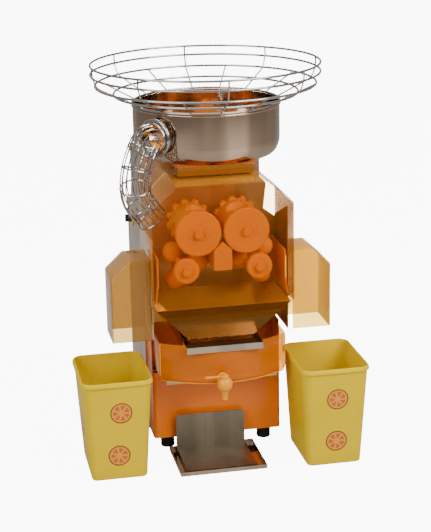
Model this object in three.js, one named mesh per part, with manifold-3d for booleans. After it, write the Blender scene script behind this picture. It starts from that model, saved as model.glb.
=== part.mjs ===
// Automatic orange juicer for a counter: a wire fruit basket on a steel feed drum, a wire chute down to a
// press with two cup drums and two ball rotors, an amber cover, peel chutes, a juice tank with a tap, a drip
// tray and two peel bins. Millimetres, +Z up, the front faces -Y. The axis of the basket is at X = 0, Y = 0
// until the whole group is moved sideways by CENTRE_SHIFT, so that the origin is under the assembly's middle.
import * as THREE from "three";
import { mergeVertices } from "three/addons/utils/BufferGeometryUtils.js";
import Module from "manifold-3d";

const wasm = await Module();
wasm.setup();

// Clearances, sheet and section counts
const SEAT_GAP = 0.3; // between a piece and what carries it
const RUNNING_GAP = 0.3; // radial, round a turning piece
const SLIDE_GAP = 1; // beside a piece that slides
const OVERRUN = 6; // how far a cutting shape passes what it cuts
const SHEET = 2; // folded stainless sheet
const WELD_GAP = 0.0001; // points closer than this are one point
const FACET_TOLERANCE = 0.02; // how far leaving out needless facets may move a surface
const FINE_SIDES = 24;
const ROUND_SIDES = 20;
const SMALL_SIDES = 10;
const WIRE_SIDES = 4;
const ARC_STEPS = 5;
const BALL_TURNS = 10;
const BALL_RINGS = 6;

// Cabinet
const FOOT_HEIGHT = 36;
const FOOT_RADIUS = 19;
const FOOT_INSET = 47;
const FOOT_FRONT_Y = -45;
const FOOT_REAR_INSET = 35;
const BASE_THICK = 4;
const GUIDE_SIDE = 12; // from the peel guides to the outside of the column
const COLUMN_DEPTH = 250;
const COLUMN_TOP = 806;
const SHOULDER_DROP = 35;
const SHOULDER_RISE = 40;
const NECK_STEP = 40;
const NECK_DEPTH = 165;
const PANEL_INSET = 6;
const PANEL_REACH = 78;
const PANEL_TOP = 345;
const PANEL_CORNER = 10;
const SHELF_Z = 226;
const SHELF_THICK = 4;
const SHELF_REACH = 150;
const SHELF_LIP = 14;
const SHELF_INSET = 26;
const SERVICE_INSET = 52;
const SERVICE_LOW = 130;
const SERVICE_HIGH = 560;
const SERVICE_LAP = 12;
const LOUVRE_ROWS = 9;
const LOUVRE_HEIGHT = 6;
const LOUVRE_PITCH = 18;
const LOUVRE_HALF = 80;
const LOUVRE_LOW_Z = 330;
const INLET_INSET = 62;
const INLET_DROP = 40;
const INLET_WIDTH = 48;
const INLET_HEIGHT = 28;
const INLET_FLANGE = 3;
const INLET_DEPTH = 26;
const INLET_RECESS = 16;
const INLET_WALL = 5;

// Press chamber
const BACK_THICK = 6;
const BACK_TOP_DROP = 7;
const BACK_TOP_INSET = 4;
const BACK_WIDE_RISE = 8;
const BACK_WIDE_INSET = 28;
const BACK_WAIST_DROP = 62;
const BACK_WAIST_INSET = 32;
const BACK_SIDE_DROP = 86;
const WALL_REACH = 150;
const WALL_REAR_DROP = 79;
const WALL_RIGHT_DROP = 20;
const WALL_LEFT_DROP = 14;
const PEEL_WINDOW_NEAR = 45;
const PEEL_WINDOW_FAR = 135;
const PEEL_WINDOW_GAP = 9;
const PEEL_WINDOW_RISE = 8;
const LEDGE_THICK = 4;
const LEDGE_WIDTH = 4;
const LEDGE_REAR = 10;

// Press: upper cup drums and lower ball rotors
const DRUM_X = 63;
const DRUM_DROP = 171;
const ROTOR_STEP = 33;
const ROTOR_DROP = 98;
const PRESS_FRONT = 192;
const FACE_THICK = 16;
const FACE_GAP = 3;
const FACE_BEVEL = 3;
const CUP_BODY_RADIUS = 52;
const CUP_COUNT = 3;
const CUP_RADIUS = 34;
const CUP_CENTRE = 59.5;
const CUP_START_DEG = 77.8;
const LUG_DISC_REAR = 48;
const LUG_DISC_THICK = 14;
const LUG_COUNT = 12;
const LUG_DEPTH = 8;
const LUG_FLANK_SHARE = 0.18;
const LUG_WIDTH_SHARE = 0.5;
const HUB_RADIUS = 24;
const BEARING_GAP = 1;
const BALL_RADIUS = 27;
const BALL_CENTRE = 42;
const BALL_START_DEG = 5;
const ROTOR_HUB_RADIUS = 21;
const ROTOR_CAP_RADIUS = 34;
const ROTOR_CAP_GAP = 2;
const BALL_ARM_HALF = 9;
const SHAFT_RADIUS = 8;
const NOSE_SINK = 14;
const SHAFT_TAIL = 55;
const KNOB_RADIUS = 13;
const KNOB_LENGTH = 9;
const KNOB_STUD = 12;
const BEARING_RADIUS = 17;
const BEARING_FRONT = 14;
const BEARING_LIP = 3;

// Knife and peel guides
const HOLDER_HALF = 24;
const HOLDER_CLEARANCE = 2; // from the shoulder to the drums' faces
const HOLDER_RISE = 21;
const HOLDER_DROP = 54;
const HOLDER_SINK = 2;
const BLADE_HALF = 1;
const BLADE_SEAT = 46; // how deep the blade stands in the holder
const BLADE_SHOW = 20;
const BLADE_BEVEL = 6;
const BLADE_SINK = 16;
const BLADE_REAR = 22;
const GUIDE_THICK = 4;
const GUIDE_SINK = 20;
const GUIDE_TOP_RISE = 35;
const GUIDE_LOW_GAP = 12;
const GUIDE_GAP = 5; // from the balls' path to the peel guides
const GUIDE_WAIST_DROP = 37;
const GUIDE_WAIST_INSET = 12;
const GUIDE_LOW_INSET = 5;

// Gears and drives
const CASING_FRONT = 2.3;
const CASING_DEPTH = 58;
const CASING_WALL = 4;
const CASING_BACK = 6;
const CASING_GAP = 1.5; // from the gears' tips to the casing
const CASING_STEP = 14;
const PAIR_TEETH = 18;
const CROSS_TEETH = 12;
const ADDENDUM_SHARE = 0.9;
const DEDENDUM_SHARE = 1.15;
const TOOTH_TIP_SHARE = 0.22;
const TOOTH_ROOT_SHARE = 0.66;
const CROSS_GEAR_FRONT = 8;
const CROSS_GEAR_REAR = 22;
const PAIR_GEAR_FRONT = 26;
const PAIR_GEAR_REAR = 40;
const GEAR_HUB_RADIUS = 16;
const WORM_HALF = 42;
const WORM_TUCK = 10;
const WORM_FLANGE_RADIUS = 36;
const WORM_FLANGE = 8;
const MOTOR_RADIUS = 44;
const MOTOR_LENGTH = 170;
const MOTOR_RIBS = 3;
const MOTOR_RIB_DEPTH = 3;
const FEED_BOX_HALF = 38;
const FEED_BOX_CLEAR = 5;
const FEED_BOX_FRONT = 38;
const FEED_BOX_REAR = 128;
const FEED_MOTOR_GAP = 2;
const FEED_MOTOR_RADIUS = 32;
const FEED_MOTOR_LENGTH = 66;

// Feed drum, feeder disc and outlet
const BRACKET_HALF = 100;
const BRACKET_REACH = 120;
const BRACKET_HEIGHT = 36;
const FEED_DRUM_RADIUS = 193;
const FEED_DRUM_HEIGHT = 133;
const FEED_DRUM_BEND_RISE = 44;
const FEED_DRUM_FOOT_INSET = 26;
const FEED_DRUM_BEND_STEPS = 3;
const FEED_DRUM_ROLL = 3;
const OUTLET_RISE = 72;
const OUTLET_TURN_DEG = 50; // from straight ahead towards the left
const OUTLET_BORE = 36;
const COLLAR_WALL = 5;
const COLLAR_LENGTH = 19;
const COLLAR_SINK = 43;
const FLANGE_RADIUS = 50;
const FLANGE_THICK = 8;
const FEEDER_INSET = 7;
const FEEDER_THICK = 14;
const FEEDER_LIFT = 6;
const FEEDER_POCKETS = 5;
const FEEDER_POCKET_RADIUS = 40;
const FEEDER_CONE_RADIUS = 62;
const FEEDER_CONE_HEIGHT = 34;
const FEEDER_NOSE_RADIUS = 14;
const FEEDER_SHAFT_DROP = 22;

// Basket and wire chute
const WIRE_RADIUS = 3;
const RIB_RADIUS = 2.2;
const BASKET_RADIUS = 299;
const BASKET_TOP_RISE = 106;
const BASKET_MIDDLE_RISE = 79;
const BASKET_LOW_RISE = 49;
const BASKET_LOW_INSET = 11;
const BASKET_POSTS = 8;
const BASKET_FLOOR_RINGS = 1;
const BASKET_RING_STEPS = 24;
const CHUTE_RADIUS = 38;
const CHUTE_WIRE = 1.8;
const CHUTE_HOOP_WIRE = 2.4;
const CHUTE_RODS = 8;
const CHUTE_HOOPS = 4;
const CHUTE_ROD_STEPS = 6;
const CHUTE_HOOP_STEPS = 8;
const CHUTE_LEAD = 24;
const CHUTE_LEAD_DROP = 3;
const CHUTE_OUT_X = -216;
const CHUTE_OUT_Y = -180;
const CHUTE_OUT_DROP = 72;
const CHUTE_BEND_X = -214;
const CHUTE_BEND_Y = -160;
const CHUTE_BEND_DROP = 146;
const CHUTE_END_INSET = 10;
const CHUTE_END_Y = -146;
const CHUTE_END_DROP = 206;

// Cover and peel chutes
const COVER_STANDOFF = 4;
const COVER_DEPTH_GAP = 14;
const COVER_TOP_RISE = 130;
const COVER_TOP_HALF = 118;
const COVER_SHOULDER_RISE = 69;
const COVER_SILL_GAP = 3;
const COVER_TONGUE_LENGTH = 36;
const COVER_TONGUE_INSET = 26;
const COVER_WALL = 3;
const COVER_NOTCH_DROP = 9;
const COVER_WINDOW_RISE = 23;
const PEEL_CHUTE_WIDTH = 104;
const PEEL_CHUTE_FRONT = 175;
const PEEL_CHUTE_REAR = 55;
const PEEL_CHUTE_DROP = 89;
const PEEL_CHUTE_RISE = 31;
const PEEL_CHUTE_SLOPE = 43;
const PEEL_CHUTE_CREST_STEP = 58;
const PEEL_CHUTE_WALL = 3;
const HOOK_REACH = 24;
const HOOK_DROP = 57;
const HOOK_HEIGHT = 46;
const STUD_Y = 13; // the stud on the column that the chute's tab hangs on
const STUD_RISE = 25; // above the tab's lower edge
const STUD_RADIUS = 5;
const STUD_HEAD_RADIUS = 8;
const STUD_HEAD_THICK = 2;

// Juice funnel, tank, strainer and tap
const FUNNEL_GAP = 2;
const FUNNEL_FRONT_GAP = 10;
const FUNNEL_TOP_DROP = 99;
const FUNNEL_TANK_GAP = 8;
const FUNNEL_MOUTH_HALF = 88;
const FUNNEL_MOUTH_FRONT = 176;
const FUNNEL_MOUTH_REAR = 40;
const TANK_INSET = 6;
const TANK_HEIGHT = 110;
const TANK_REAR = 12;
const TANK_CORNER_REACH = 15;
const TANK_BELLY_BULGE = 60;
const TANK_WALL = 3;
const TANK_ROUND = 20;
const TANK_BELLY_STEPS = 12;
const STRAINER_X = -6;
const STRAINER_HALF = 101;
const STRAINER_LIP = 18;
const STRAINER_DEPTH = 22;
const STRAINER_ROWS = 2;
const STRAINER_HOLES = 6;
const STRAINER_HOLE_WIDTH = 10;
const STRAINER_HOLE_SHARE = 0.8; // of the distance between two rows
const TAP_X = -14;
const TAP_RISE = 22;
const TAP_BARREL_RADIUS = 11;
const TAP_BARREL_TAIL = 12;
const TAP_FLANGE_RADIUS = 16;
const TAP_FLANGE_THICK = 3;
const TAP_BOWL_RADIUS = 20;
const TAP_BOWL_STANDOFF = 27;
const TAP_BOWL_SIDES = 16;
const TAP_BOWL_SHARES = [
  [0.8, -1.25],
  [1, -0.6],
  [0.9, 0],
]; // radius and height, as shares of the bowl's radius
const TAP_SPOUT_TOP_SHARE = -1.6;
const TAP_SPOUT_RADIUS = 8;
const TAP_SPOUT_LOW = 203;
const TAP_STEM_RADIUS = 5;
const LEVER_LENGTH = 48;
const LEVER_HALF = 4.5;
const LEVER_THICK = 7;

// Drip tray and splash plate
const TRAY_LEFT = -137;
const TRAY_RIGHT = 95;
const TRAY_FRONT = -262;
const TRAY_REAR = -84;
const TRAY_HEIGHT = 12;
const TRAY_WALL = 2;
const SPLASH_LEFT_INSET = 18;
const SPLASH_RIGHT_INSET = 25;
const SPLASH_TOP = 106;
const SPLASH_REAR_INSET = 13;
const SPLASH_FRONT_INSET = 8;
const SPLASH_CORNER = 12;

// Switch on the left side
const SWITCH_Y = 160;
const SWITCH_DROP = 3;
const SWITCH_RADIUS = 22;
const SWITCH_THICK = 3;
const SWITCH_KNOB_RADIUS = 11;
const SWITCH_KNOB_LENGTH = 9;
const SWITCH_GRIP_HALF = 3;
const SWITCH_GRIP_LENGTH = 8;

// Peel bins
const BIN_LEFT_GAP = 16;
const BIN_LEFT_Y = -138;
const BIN_RIGHT_TUCK = 3;
const BIN_RIGHT_Y = -181;
const BIN_HEIGHT = 275;
const BIN_RIM_WIDTH = 190;
const BIN_RIM_DEPTH = 240;
const BIN_FOOT_WIDTH = 147;
const BIN_FOOT_DEPTH = 197;
const BIN_RIM_PROUD = 5;
const BIN_RIM_HEIGHT = 12;
const BIN_WALL = 2.5;
const BIN_CORNER = 26;
const BIN_CORNER_STEPS = 3;

// Sizes and places worked out from the sizes above
const DRUM_Z = COLUMN_TOP - DRUM_DROP;
const SHOULDER_Z = DRUM_Z - SHOULDER_DROP;
const NECK_Z = SHOULDER_Z + SHOULDER_RISE;
const SWITCH_Z = SHOULDER_Z - SWITCH_DROP;
const WORM_DEPTH = 2 * MOTOR_RADIUS - WORM_TUCK;
const FEED_BOX_HEIGHT = BRACKET_HEIGHT - FEED_BOX_CLEAR;
const FEED_MOTOR_Y = CASING_DEPTH + FEED_MOTOR_RADIUS + FEED_MOTOR_GAP;
const ROTOR_CAP_THICK = FACE_THICK - ROTOR_CAP_GAP;
const TANK_CORNER_Y = SHELF_REACH + TANK_CORNER_REACH;
const INLET_Z = SERVICE_LOW - INLET_DROP;
const BACK_TOP_HALF = COVER_TOP_HALF - BACK_TOP_INSET;
const ROTOR_Z = DRUM_Z - ROTOR_DROP;
const FUNNEL_TOP = ROTOR_Z - FUNNEL_TOP_DROP;
const GUIDE_TOP_Z = ROTOR_Z + GUIDE_TOP_RISE;
const GUIDE_WAIST_Z = ROTOR_Z - GUIDE_WAIST_DROP;
const GUIDE_LOW_Z = FUNNEL_TOP + GUIDE_LOW_GAP;
const COVER_SILL = FUNNEL_TOP + COVER_SILL_GAP;
const COVER_TONGUE_Z = COVER_SILL - COVER_TONGUE_LENGTH;
const COVER_WINDOW_TOP = ROTOR_Z + COVER_WINDOW_RISE;
const PEEL_WINDOW_LOW = FUNNEL_TOP + PEEL_WINDOW_GAP;
const PEEL_WINDOW_HIGH = ROTOR_Z + PEEL_WINDOW_RISE;
const PEEL_CHUTE_TOP = ROTOR_Z + PEEL_CHUTE_RISE;
const PEEL_CHUTE_SHOULDER = PEEL_CHUTE_TOP - PEEL_CHUTE_SLOPE;
const PEEL_CHUTE_LOW = COVER_SILL - PEEL_CHUTE_DROP;
const HOOK_LOW = ROTOR_Z - HOOK_DROP;
const ROTOR_X = DRUM_X + ROTOR_STEP;
const GUIDE_TOP_X = ROTOR_X + BALL_CENTRE + BALL_RADIUS + GUIDE_GAP;
const COLUMN_HALF = GUIDE_TOP_X + GUIDE_SIDE;
const FOOT_X = COLUMN_HALF - FOOT_INSET;
const FOOT_REAR_Y = COLUMN_DEPTH - FOOT_REAR_INSET;
const NECK_RIGHT = COLUMN_HALF - NECK_STEP;
const PANEL_HALF = COLUMN_HALF - PANEL_INSET;
const SHELF_HALF = PANEL_HALF - SHELF_INSET;
const SERVICE_HALF = COLUMN_HALF - SERVICE_INSET;
const INLET_X = COLUMN_HALF - INLET_INSET;
const COVER_HALF = COLUMN_HALF + COVER_STANDOFF;
const COVER_TONGUE_HALF = COVER_HALF - COVER_TONGUE_INSET;
const FUNNEL_HALF = COLUMN_HALF - SHEET - FUNNEL_GAP;
const TANK_HALF = PANEL_HALF - TANK_INSET;
const GUIDE_WAIST_X = COLUMN_HALF - GUIDE_WAIST_INSET;
const GUIDE_LOW_X = COLUMN_HALF - GUIDE_LOW_INSET;
const BACK_WIDE_HALF = COVER_HALF - BACK_WIDE_INSET;
const BACK_WAIST_HALF = COLUMN_HALF - BACK_WAIST_INSET;
const FACE_RADIUS = DRUM_X - FACE_GAP;
const SHAFT_NOSE = PRESS_FRONT - NOSE_SINK;
const HOLDER_REACH = PRESS_FRONT - HOLDER_SINK;
const BLADE_FRONT = PRESS_FRONT - BLADE_SINK;
const GUIDE_REACH = PRESS_FRONT - GUIDE_SINK;
const COVER_REACH = PRESS_FRONT + COVER_DEPTH_GAP;
const FUNNEL_FRONT = COVER_REACH - FUNNEL_FRONT_GAP;
const HUB_REAR = BEARING_FRONT + BEARING_GAP;
const COVER_SHOULDER = DRUM_Z + COVER_SHOULDER_RISE;
const BACK_WIDE_Z = COVER_SHOULDER + BACK_WIDE_RISE;
const BACK_WAIST_Z = COVER_SHOULDER - BACK_WAIST_DROP;
const BACK_SIDE_Z = COVER_SHOULDER - BACK_SIDE_DROP;
const WALL_REAR_Z = COVER_SHOULDER - WALL_REAR_DROP;
const WALL_FRONT_RIGHT_Z = COVER_SHOULDER - WALL_RIGHT_DROP;
const COVER_TOP = DRUM_Z + COVER_TOP_RISE;
const BACK_TOP = COVER_TOP - BACK_TOP_DROP;
const COVER_NOTCH_Z = DRUM_Z - COVER_NOTCH_DROP;
const WALL_FRONT_LEFT_Z = COVER_NOTCH_Z - WALL_LEFT_DROP;
const BRACKET_LOW = COLUMN_TOP - BRACKET_HEIGHT;
const FEED_DRUM_TOP = COLUMN_TOP + FEED_DRUM_HEIGHT;
const FEED_DRUM_BEND_Z = COLUMN_TOP + FEED_DRUM_BEND_RISE;
const FEED_DRUM_FOOT_RADIUS = FEED_DRUM_RADIUS - FEED_DRUM_FOOT_INSET;
const FEEDER_RADIUS = FEED_DRUM_FOOT_RADIUS - FEEDER_INSET;
const OUTLET_Z = COLUMN_TOP + OUTLET_RISE;
const COLLAR_REACH = FEED_DRUM_RADIUS + COLLAR_LENGTH;
const COLLAR_ROOT = FEED_DRUM_RADIUS - COLLAR_SINK;
const FEEDER_SHAFT_TIP = COLUMN_TOP - FEEDER_SHAFT_DROP;
const BASKET_TOP = FEED_DRUM_TOP + BASKET_TOP_RISE;
const BASKET_MIDDLE = FEED_DRUM_TOP + BASKET_MIDDLE_RISE;
const BASKET_LOW = FEED_DRUM_TOP + BASKET_LOW_RISE;
const BASKET_LOW_RADIUS = BASKET_RADIUS - BASKET_LOW_INSET;
const CHUTE_OUT_Z = OUTLET_Z - CHUTE_OUT_DROP;
const CHUTE_BEND_Z = OUTLET_Z - CHUTE_BEND_DROP;
const CHUTE_END_Z = OUTLET_Z - CHUTE_END_DROP;
const CHUTE_END_X = CHUTE_END_INSET - COVER_HALF;
const SPLASH_LEFT = TRAY_LEFT + SPLASH_LEFT_INSET;
const SPLASH_RIGHT = TRAY_RIGHT - SPLASH_RIGHT_INSET;
const SPLASH_Y = TRAY_REAR - SPLASH_REAR_INSET;
const SPLASH_FRONT = TRAY_FRONT + SPLASH_FRONT_INSET;
const BIN_LEFT_X = -COLUMN_HALF - BIN_LEFT_GAP - BIN_RIM_WIDTH / 2;
const BIN_RIGHT_X = COLUMN_HALF - BIN_RIGHT_TUCK + BIN_RIM_WIDTH / 2;
const CENTRE_SHIFT = -(BIN_LEFT_X + BIN_RIGHT_X) / 2;
const COLUMN_LOW = FOOT_HEIGHT + BASE_THICK;
const SHELF_TOP = SHELF_Z + SHELF_THICK;
const DRUM_LOW = COLUMN_TOP + SEAT_GAP;
// A bore keeps its clearance at the middle of its flats, so a faceted shaft can turn in it
const BORE_RADIUS = (SHAFT_RADIUS + RUNNING_GAP) / Math.cos(Math.PI / SMALL_SIDES);
const CUP_FRONT = PRESS_FRONT - FACE_THICK;
const LUG_DISC_FRONT = LUG_DISC_REAR + LUG_DISC_THICK;
const PRESS_MIDDLE = (CUP_FRONT + LUG_DISC_FRONT) / 2;
const TANK_LOW = SHELF_TOP + SEAT_GAP;
const CHUTE_INSIDE = COVER_HALF + SLIDE_GAP;
const STUD_Z = HOOK_LOW + STUD_RISE;
const PEEL_CHUTE_HALF_OUT = CHUTE_INSIDE + PEEL_CHUTE_WIDTH;
const PEEL_CHUTE_CREST = CHUTE_INSIDE + PEEL_CHUTE_CREST_STEP;
const TANK_TOP = SHELF_TOP + TANK_HEIGHT;
const FUNNEL_LOW = TANK_TOP + FUNNEL_TANK_GAP;
const TANK_BELLY_Y = TANK_CORNER_Y + TANK_BELLY_BULGE;
const TAP_BOWL_Y = -TANK_BELLY_Y - TAP_BOWL_STANDOFF;
const TAP_Z = SHELF_TOP + TAP_RISE;
// The holder's shoulder comes within its clearance of both drums' faces
const HOLDER_SHOULDER =
  DRUM_Z - Math.sqrt((FACE_RADIUS + HOLDER_CLEARANCE) ** 2 - (DRUM_X - HOLDER_HALF) ** 2);
const HOLDER_LOW = HOLDER_SHOULDER - HOLDER_DROP;
const HOLDER_APEX = HOLDER_SHOULDER + HOLDER_RISE;
const BLADE_LOW = HOLDER_APEX - BLADE_SEAT;
const BLADE_TOP = HOLDER_APEX + BLADE_SHOW;
// Gears: the upper pair meets at X = 0, and each cross pair halfway between its two axes
const CROSS_PITCH_RADIUS = Math.hypot(ROTOR_X - DRUM_X, DRUM_Z - ROTOR_Z) / 2;
const CROSS_TIP_RADIUS = CROSS_PITCH_RADIUS * (1 + (2 * ADDENDUM_SHARE) / CROSS_TEETH);
const PAIR_TIP_RADIUS = DRUM_X * (1 + (2 * ADDENDUM_SHARE) / PAIR_TEETH);
const CASING_MARGIN = CASING_GAP + CASING_WALL;
const CASING_LOW = ROTOR_Z - CROSS_TIP_RADIUS - CASING_MARGIN;
const CASING_SHOULDER = ROTOR_Z + CROSS_TIP_RADIUS + CASING_GAP;
const CASING_TOP = DRUM_Z + PAIR_TIP_RADIUS + CASING_MARGIN;
const CASING_LOW_HALF = ROTOR_X + CROSS_TIP_RADIUS + CASING_MARGIN;
const CASING_HIGH_HALF = DRUM_X + PAIR_TIP_RADIUS + CASING_MARGIN;
const QUARTER_TURN = Math.PI / 2;
const DEG = Math.PI / 180;
const SIDES = [
  ["left", -1],
  ["right", 1],
];

// Finishes
const FINISHES = {
  steel: { color: 0xb9aca6, roughness: 0.32, metalness: 0.95 },
  polished: { color: 0xc9c3bd, roughness: 0.12, metalness: 1 },
  chrome: { color: 0xd6d6d8, roughness: 0.08, metalness: 1 },
  brushed: { color: 0x77726a, roughness: 0.5, metalness: 0.9 },
  cast: { color: 0x6f7378, roughness: 0.6, metalness: 0.7 },
  orange: { color: 0xf57f1c, roughness: 0.45, metalness: 0 },
  panel: { color: 0xdb7421, roughness: 0.35, metalness: 0 },
  amber: { color: 0xd98a1e, roughness: 0.1, metalness: 0, transparent: true, opacity: 0.45 },
  tap: { color: 0xf2962e, roughness: 0.3, metalness: 0 },
  yellow: { color: 0xf2cf10, roughness: 0.4, metalness: 0 },
  black: { color: 0x1c1b1b, roughness: 0.7, metalness: 0 },
  nylon: { color: 0xe6e2d6, roughness: 0.5, metalness: 0 },
};

const root = new THREE.Group();
root.position.set(CENTRE_SHIFT, 0, 0);

// Solids from geometry

// Six times the signed volume of an indexed geometry: negative when its faces point inwards.
function signedVolume(positions, index) {
  const corner = (i) => new THREE.Vector3().fromArray(positions, index[i] * 3);
  let total = 0;
  for (let i = 0; i < index.length; i += 3) {
    total += corner(i).dot(corner(i + 1).cross(corner(i + 2)));
  }
  return total;
}

function solidOf(geometry) {
  const bare = geometry.clone();
  bare.deleteAttribute("normal");
  bare.deleteAttribute("uv");
  const merged = mergeVertices(bare, WELD_GAP);
  const vertProperties = merged.attributes.position.array;
  const triVerts = new Uint32Array(merged.index.array);
  if (signedVolume(vertProperties, triVerts) < 0) triVerts.reverse();
  return new wasm.Manifold(new wasm.Mesh({ numProp: 3, vertProperties, triVerts }));
}

function join(...solids) {
  return solids.flat().reduce((whole, next) => whole.add(next));
}

function cut(whole, ...tools) {
  return tools.flat().reduce((rest, tool) => rest.subtract(tool), whole);
}

// Adds a solid to a group as a named mesh with one of the finishes.
function add(group, name, solid, finish) {
  const mesh = solid.asOriginal().simplify(FACET_TOLERANCE).getMesh();
  const geometry = new THREE.BufferGeometry();
  geometry.setAttribute("position", new THREE.BufferAttribute(mesh.vertProperties, 3));
  geometry.setIndex(new THREE.BufferAttribute(mesh.triVerts, 1));
  geometry.computeVertexNormals();
  const piece = new THREE.Mesh(geometry, new THREE.MeshStandardMaterial(FINISHES[finish]));
  piece.name = name;
  group.add(piece);
  return piece;
}

function subAssembly() {
  const group = new THREE.Group();
  root.add(group);
  return group;
}

// A box between two pairs of places on each axis, in either order along X.
function block(x0, x1, y0, y1, z0, z1) {
  const box = new THREE.BoxGeometry(Math.abs(x1 - x0), y1 - y0, z1 - z0);
  box.translate((x0 + x1) / 2, (y0 + y1) / 2, (z0 + z1) / 2);
  return solidOf(box);
}

function shapeOf(points) {
  return new THREE.Shape(points.map(([a, b]) => new THREE.Vector2(a, b)));
}

function extruded(shape, depth, curveSegments = ARC_STEPS) {
  return new THREE.ExtrudeGeometry(shape, { depth, bevelEnabled: false, curveSegments });
}

// A shape of X and Z, standing from y0 to y1.
function standingXZ(points, y0, y1) {
  const geometry = extruded(shapeOf(points), y1 - y0);
  geometry.rotateX(Math.PI / 2);
  geometry.translate(0, y1, 0);
  return solidOf(geometry);
}

// A shape of Y and Z, from x0 to x1.
function standingYZ(points, x0, x1) {
  const geometry = extruded(shapeOf(points), x1 - x0);
  geometry.applyMatrix4(new THREE.Matrix4().set(0, 0, 1, x0, 1, 0, 0, 0, 0, 1, 0, 0, 0, 0, 0, 1));
  return solidOf(geometry);
}

// A shape of X and Y, from z0 up to z1.
function lyingXY(shape, z0, z1, curveSegments) {
  const geometry = extruded(shape, z1 - z0, curveSegments);
  geometry.translate(0, 0, z0);
  return solidOf(geometry);
}

function lathe(profile, sides) {
  return new THREE.LatheGeometry(profile.map(([r, h]) => new THREE.Vector2(r, h)), sides);
}

// Turned about an upright axis: the profile is [radius, z].
function turnedZ(profile, x, y, sides = ROUND_SIDES) {
  const geometry = lathe(profile, sides);
  geometry.rotateX(Math.PI / 2);
  geometry.translate(x, y, 0);
  return solidOf(geometry);
}

// Turned about an axis along Y: the profile is [radius, y].
function turnedY(profile, x, z, sides = ROUND_SIDES) {
  const geometry = lathe(profile, sides);
  geometry.translate(x, 0, z);
  return solidOf(geometry);
}

// Turned about an axis along X: the profile is [radius, x].
function turnedX(profile, y, z, sides = ROUND_SIDES) {
  const geometry = lathe(profile, sides);
  geometry.rotateZ(-Math.PI / 2);
  geometry.translate(0, y, z);
  return solidOf(geometry);
}

function rodProfile(radius, from, to) {
  return [
    [0, from],
    [radius, from],
    [radius, to],
    [0, to],
  ];
}

function ringProfile(inner, outer, from, to) {
  return [
    [inner, from],
    [outer, from],
    [outer, to],
    [inner, to],
    [inner, from],
  ];
}

function rodZ(radius, x, y, z0, z1, sides) {
  return turnedZ(rodProfile(radius, z0, z1), x, y, sides);
}

function rodY(radius, x, z, y0, y1, sides) {
  return turnedY(rodProfile(radius, y0, y1), x, z, sides);
}

// A round wire along a curve, with closed ends.
function wire(curve, radius, steps, sides = WIRE_SIDES) {
  const section = new THREE.Shape();
  for (let i = 0; i < sides; i++) {
    const angle = (2 * Math.PI * i) / sides;
    const x = radius * Math.cos(angle);
    const y = radius * Math.sin(angle);
    if (i === 0) section.moveTo(x, y);
    else section.lineTo(x, y);
  }
  return solidOf(new THREE.ExtrudeGeometry(section, { steps, extrudePath: curve, bevelEnabled: false }));
}

function straightWire(from, to, radius) {
  const span = new THREE.Vector3().subVectors(to, from);
  const geometry = new THREE.CylinderGeometry(radius, radius, span.length(), WIRE_SIDES);
  const upright = new THREE.Vector3(0, 1, 0);
  geometry.applyQuaternion(new THREE.Quaternion().setFromUnitVectors(upright, span.normalize()));
  geometry.translate(...from.clone().add(to).multiplyScalar(0.5).toArray());
  return solidOf(geometry);
}

function wireRing(ringRadius, z, radius, steps) {
  const geometry = new THREE.TorusGeometry(ringRadius, radius, WIRE_SIDES, steps);
  geometry.translate(0, 0, z);
  return solidOf(geometry);
}

// A closed body through rings of points, each ring with as many points as the first, ends capped.
function loft(rings) {
  const count = rings[0].length;
  const positions = rings.flat(2);
  const index = [];
  for (let r = 0; r + 1 < rings.length; r++) {
    for (let i = 0; i < count; i++) {
      const a = r * count + i;
      const b = r * count + ((i + 1) % count);
      index.push(a, b, b + count, a, b + count, a + count);
    }
  }
  const last = (rings.length - 1) * count;
  for (let i = 1; i + 1 < count; i++) {
    index.push(0, i + 1, i, last, last + i, last + i + 1);
  }
  const geometry = new THREE.BufferGeometry();
  geometry.setAttribute("position", new THREE.Float32BufferAttribute(positions, 3));
  geometry.setIndex(index);
  return solidOf(geometry);
}

// The points of a rectangle with rounded corners about a centre, at one height.
function roundedRing(width, depth, radius, x, y, z, cornerSteps) {
  const corners = [
    [1, 1],
    [-1, 1],
    [-1, -1],
    [1, -1],
  ];
  return corners.flatMap(([sx, sy], corner) =>
    Array.from({ length: cornerSteps + 1 }, (_, i) => {
      const angle = (corner + i / cornerSteps) * QUARTER_TURN;
      const cx = x + sx * (width / 2 - radius);
      const cy = y + sy * (depth / 2 - radius);
      return [cx + radius * Math.cos(angle), cy + radius * Math.sin(angle), z];
    }),
  );
}

function mirroredOutline(half) {
  return [...half, ...half.map(([x, z]) => [-x, z]).reverse()];
}

// Cabinet

function makeFeet(group) {
  const places = [
    ["foot_front_left", -FOOT_X, FOOT_FRONT_Y],
    ["foot_front_right", FOOT_X, FOOT_FRONT_Y],
    ["foot_rear_left", -FOOT_X, FOOT_REAR_Y],
    ["foot_rear_right", FOOT_X, FOOT_REAR_Y],
  ];
  const soleRadius = FOOT_RADIUS - SHEET;
  for (const [name, x, y] of places) {
    const profile = [
      [0, 0],
      [soleRadius, 0],
      [FOOT_RADIUS, SHEET],
      [FOOT_RADIUS, FOOT_HEIGHT / 2],
      [soleRadius, FOOT_HEIGHT],
      [0, FOOT_HEIGHT],
    ];
    add(group, name, turnedZ(profile, x, y, SMALL_SIDES), "black");
  }
}

function makeBase(group) {
  const under = block(-COLUMN_HALF, COLUMN_HALF, 0, COLUMN_DEPTH, FOOT_HEIGHT, COLUMN_LOW);
  const tongue = lyingXY(panelRing(SHEET + SEAT_GAP), FOOT_HEIGHT, COLUMN_LOW);
  add(group, "base_plate", join(under, tongue), "steel");
}

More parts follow.
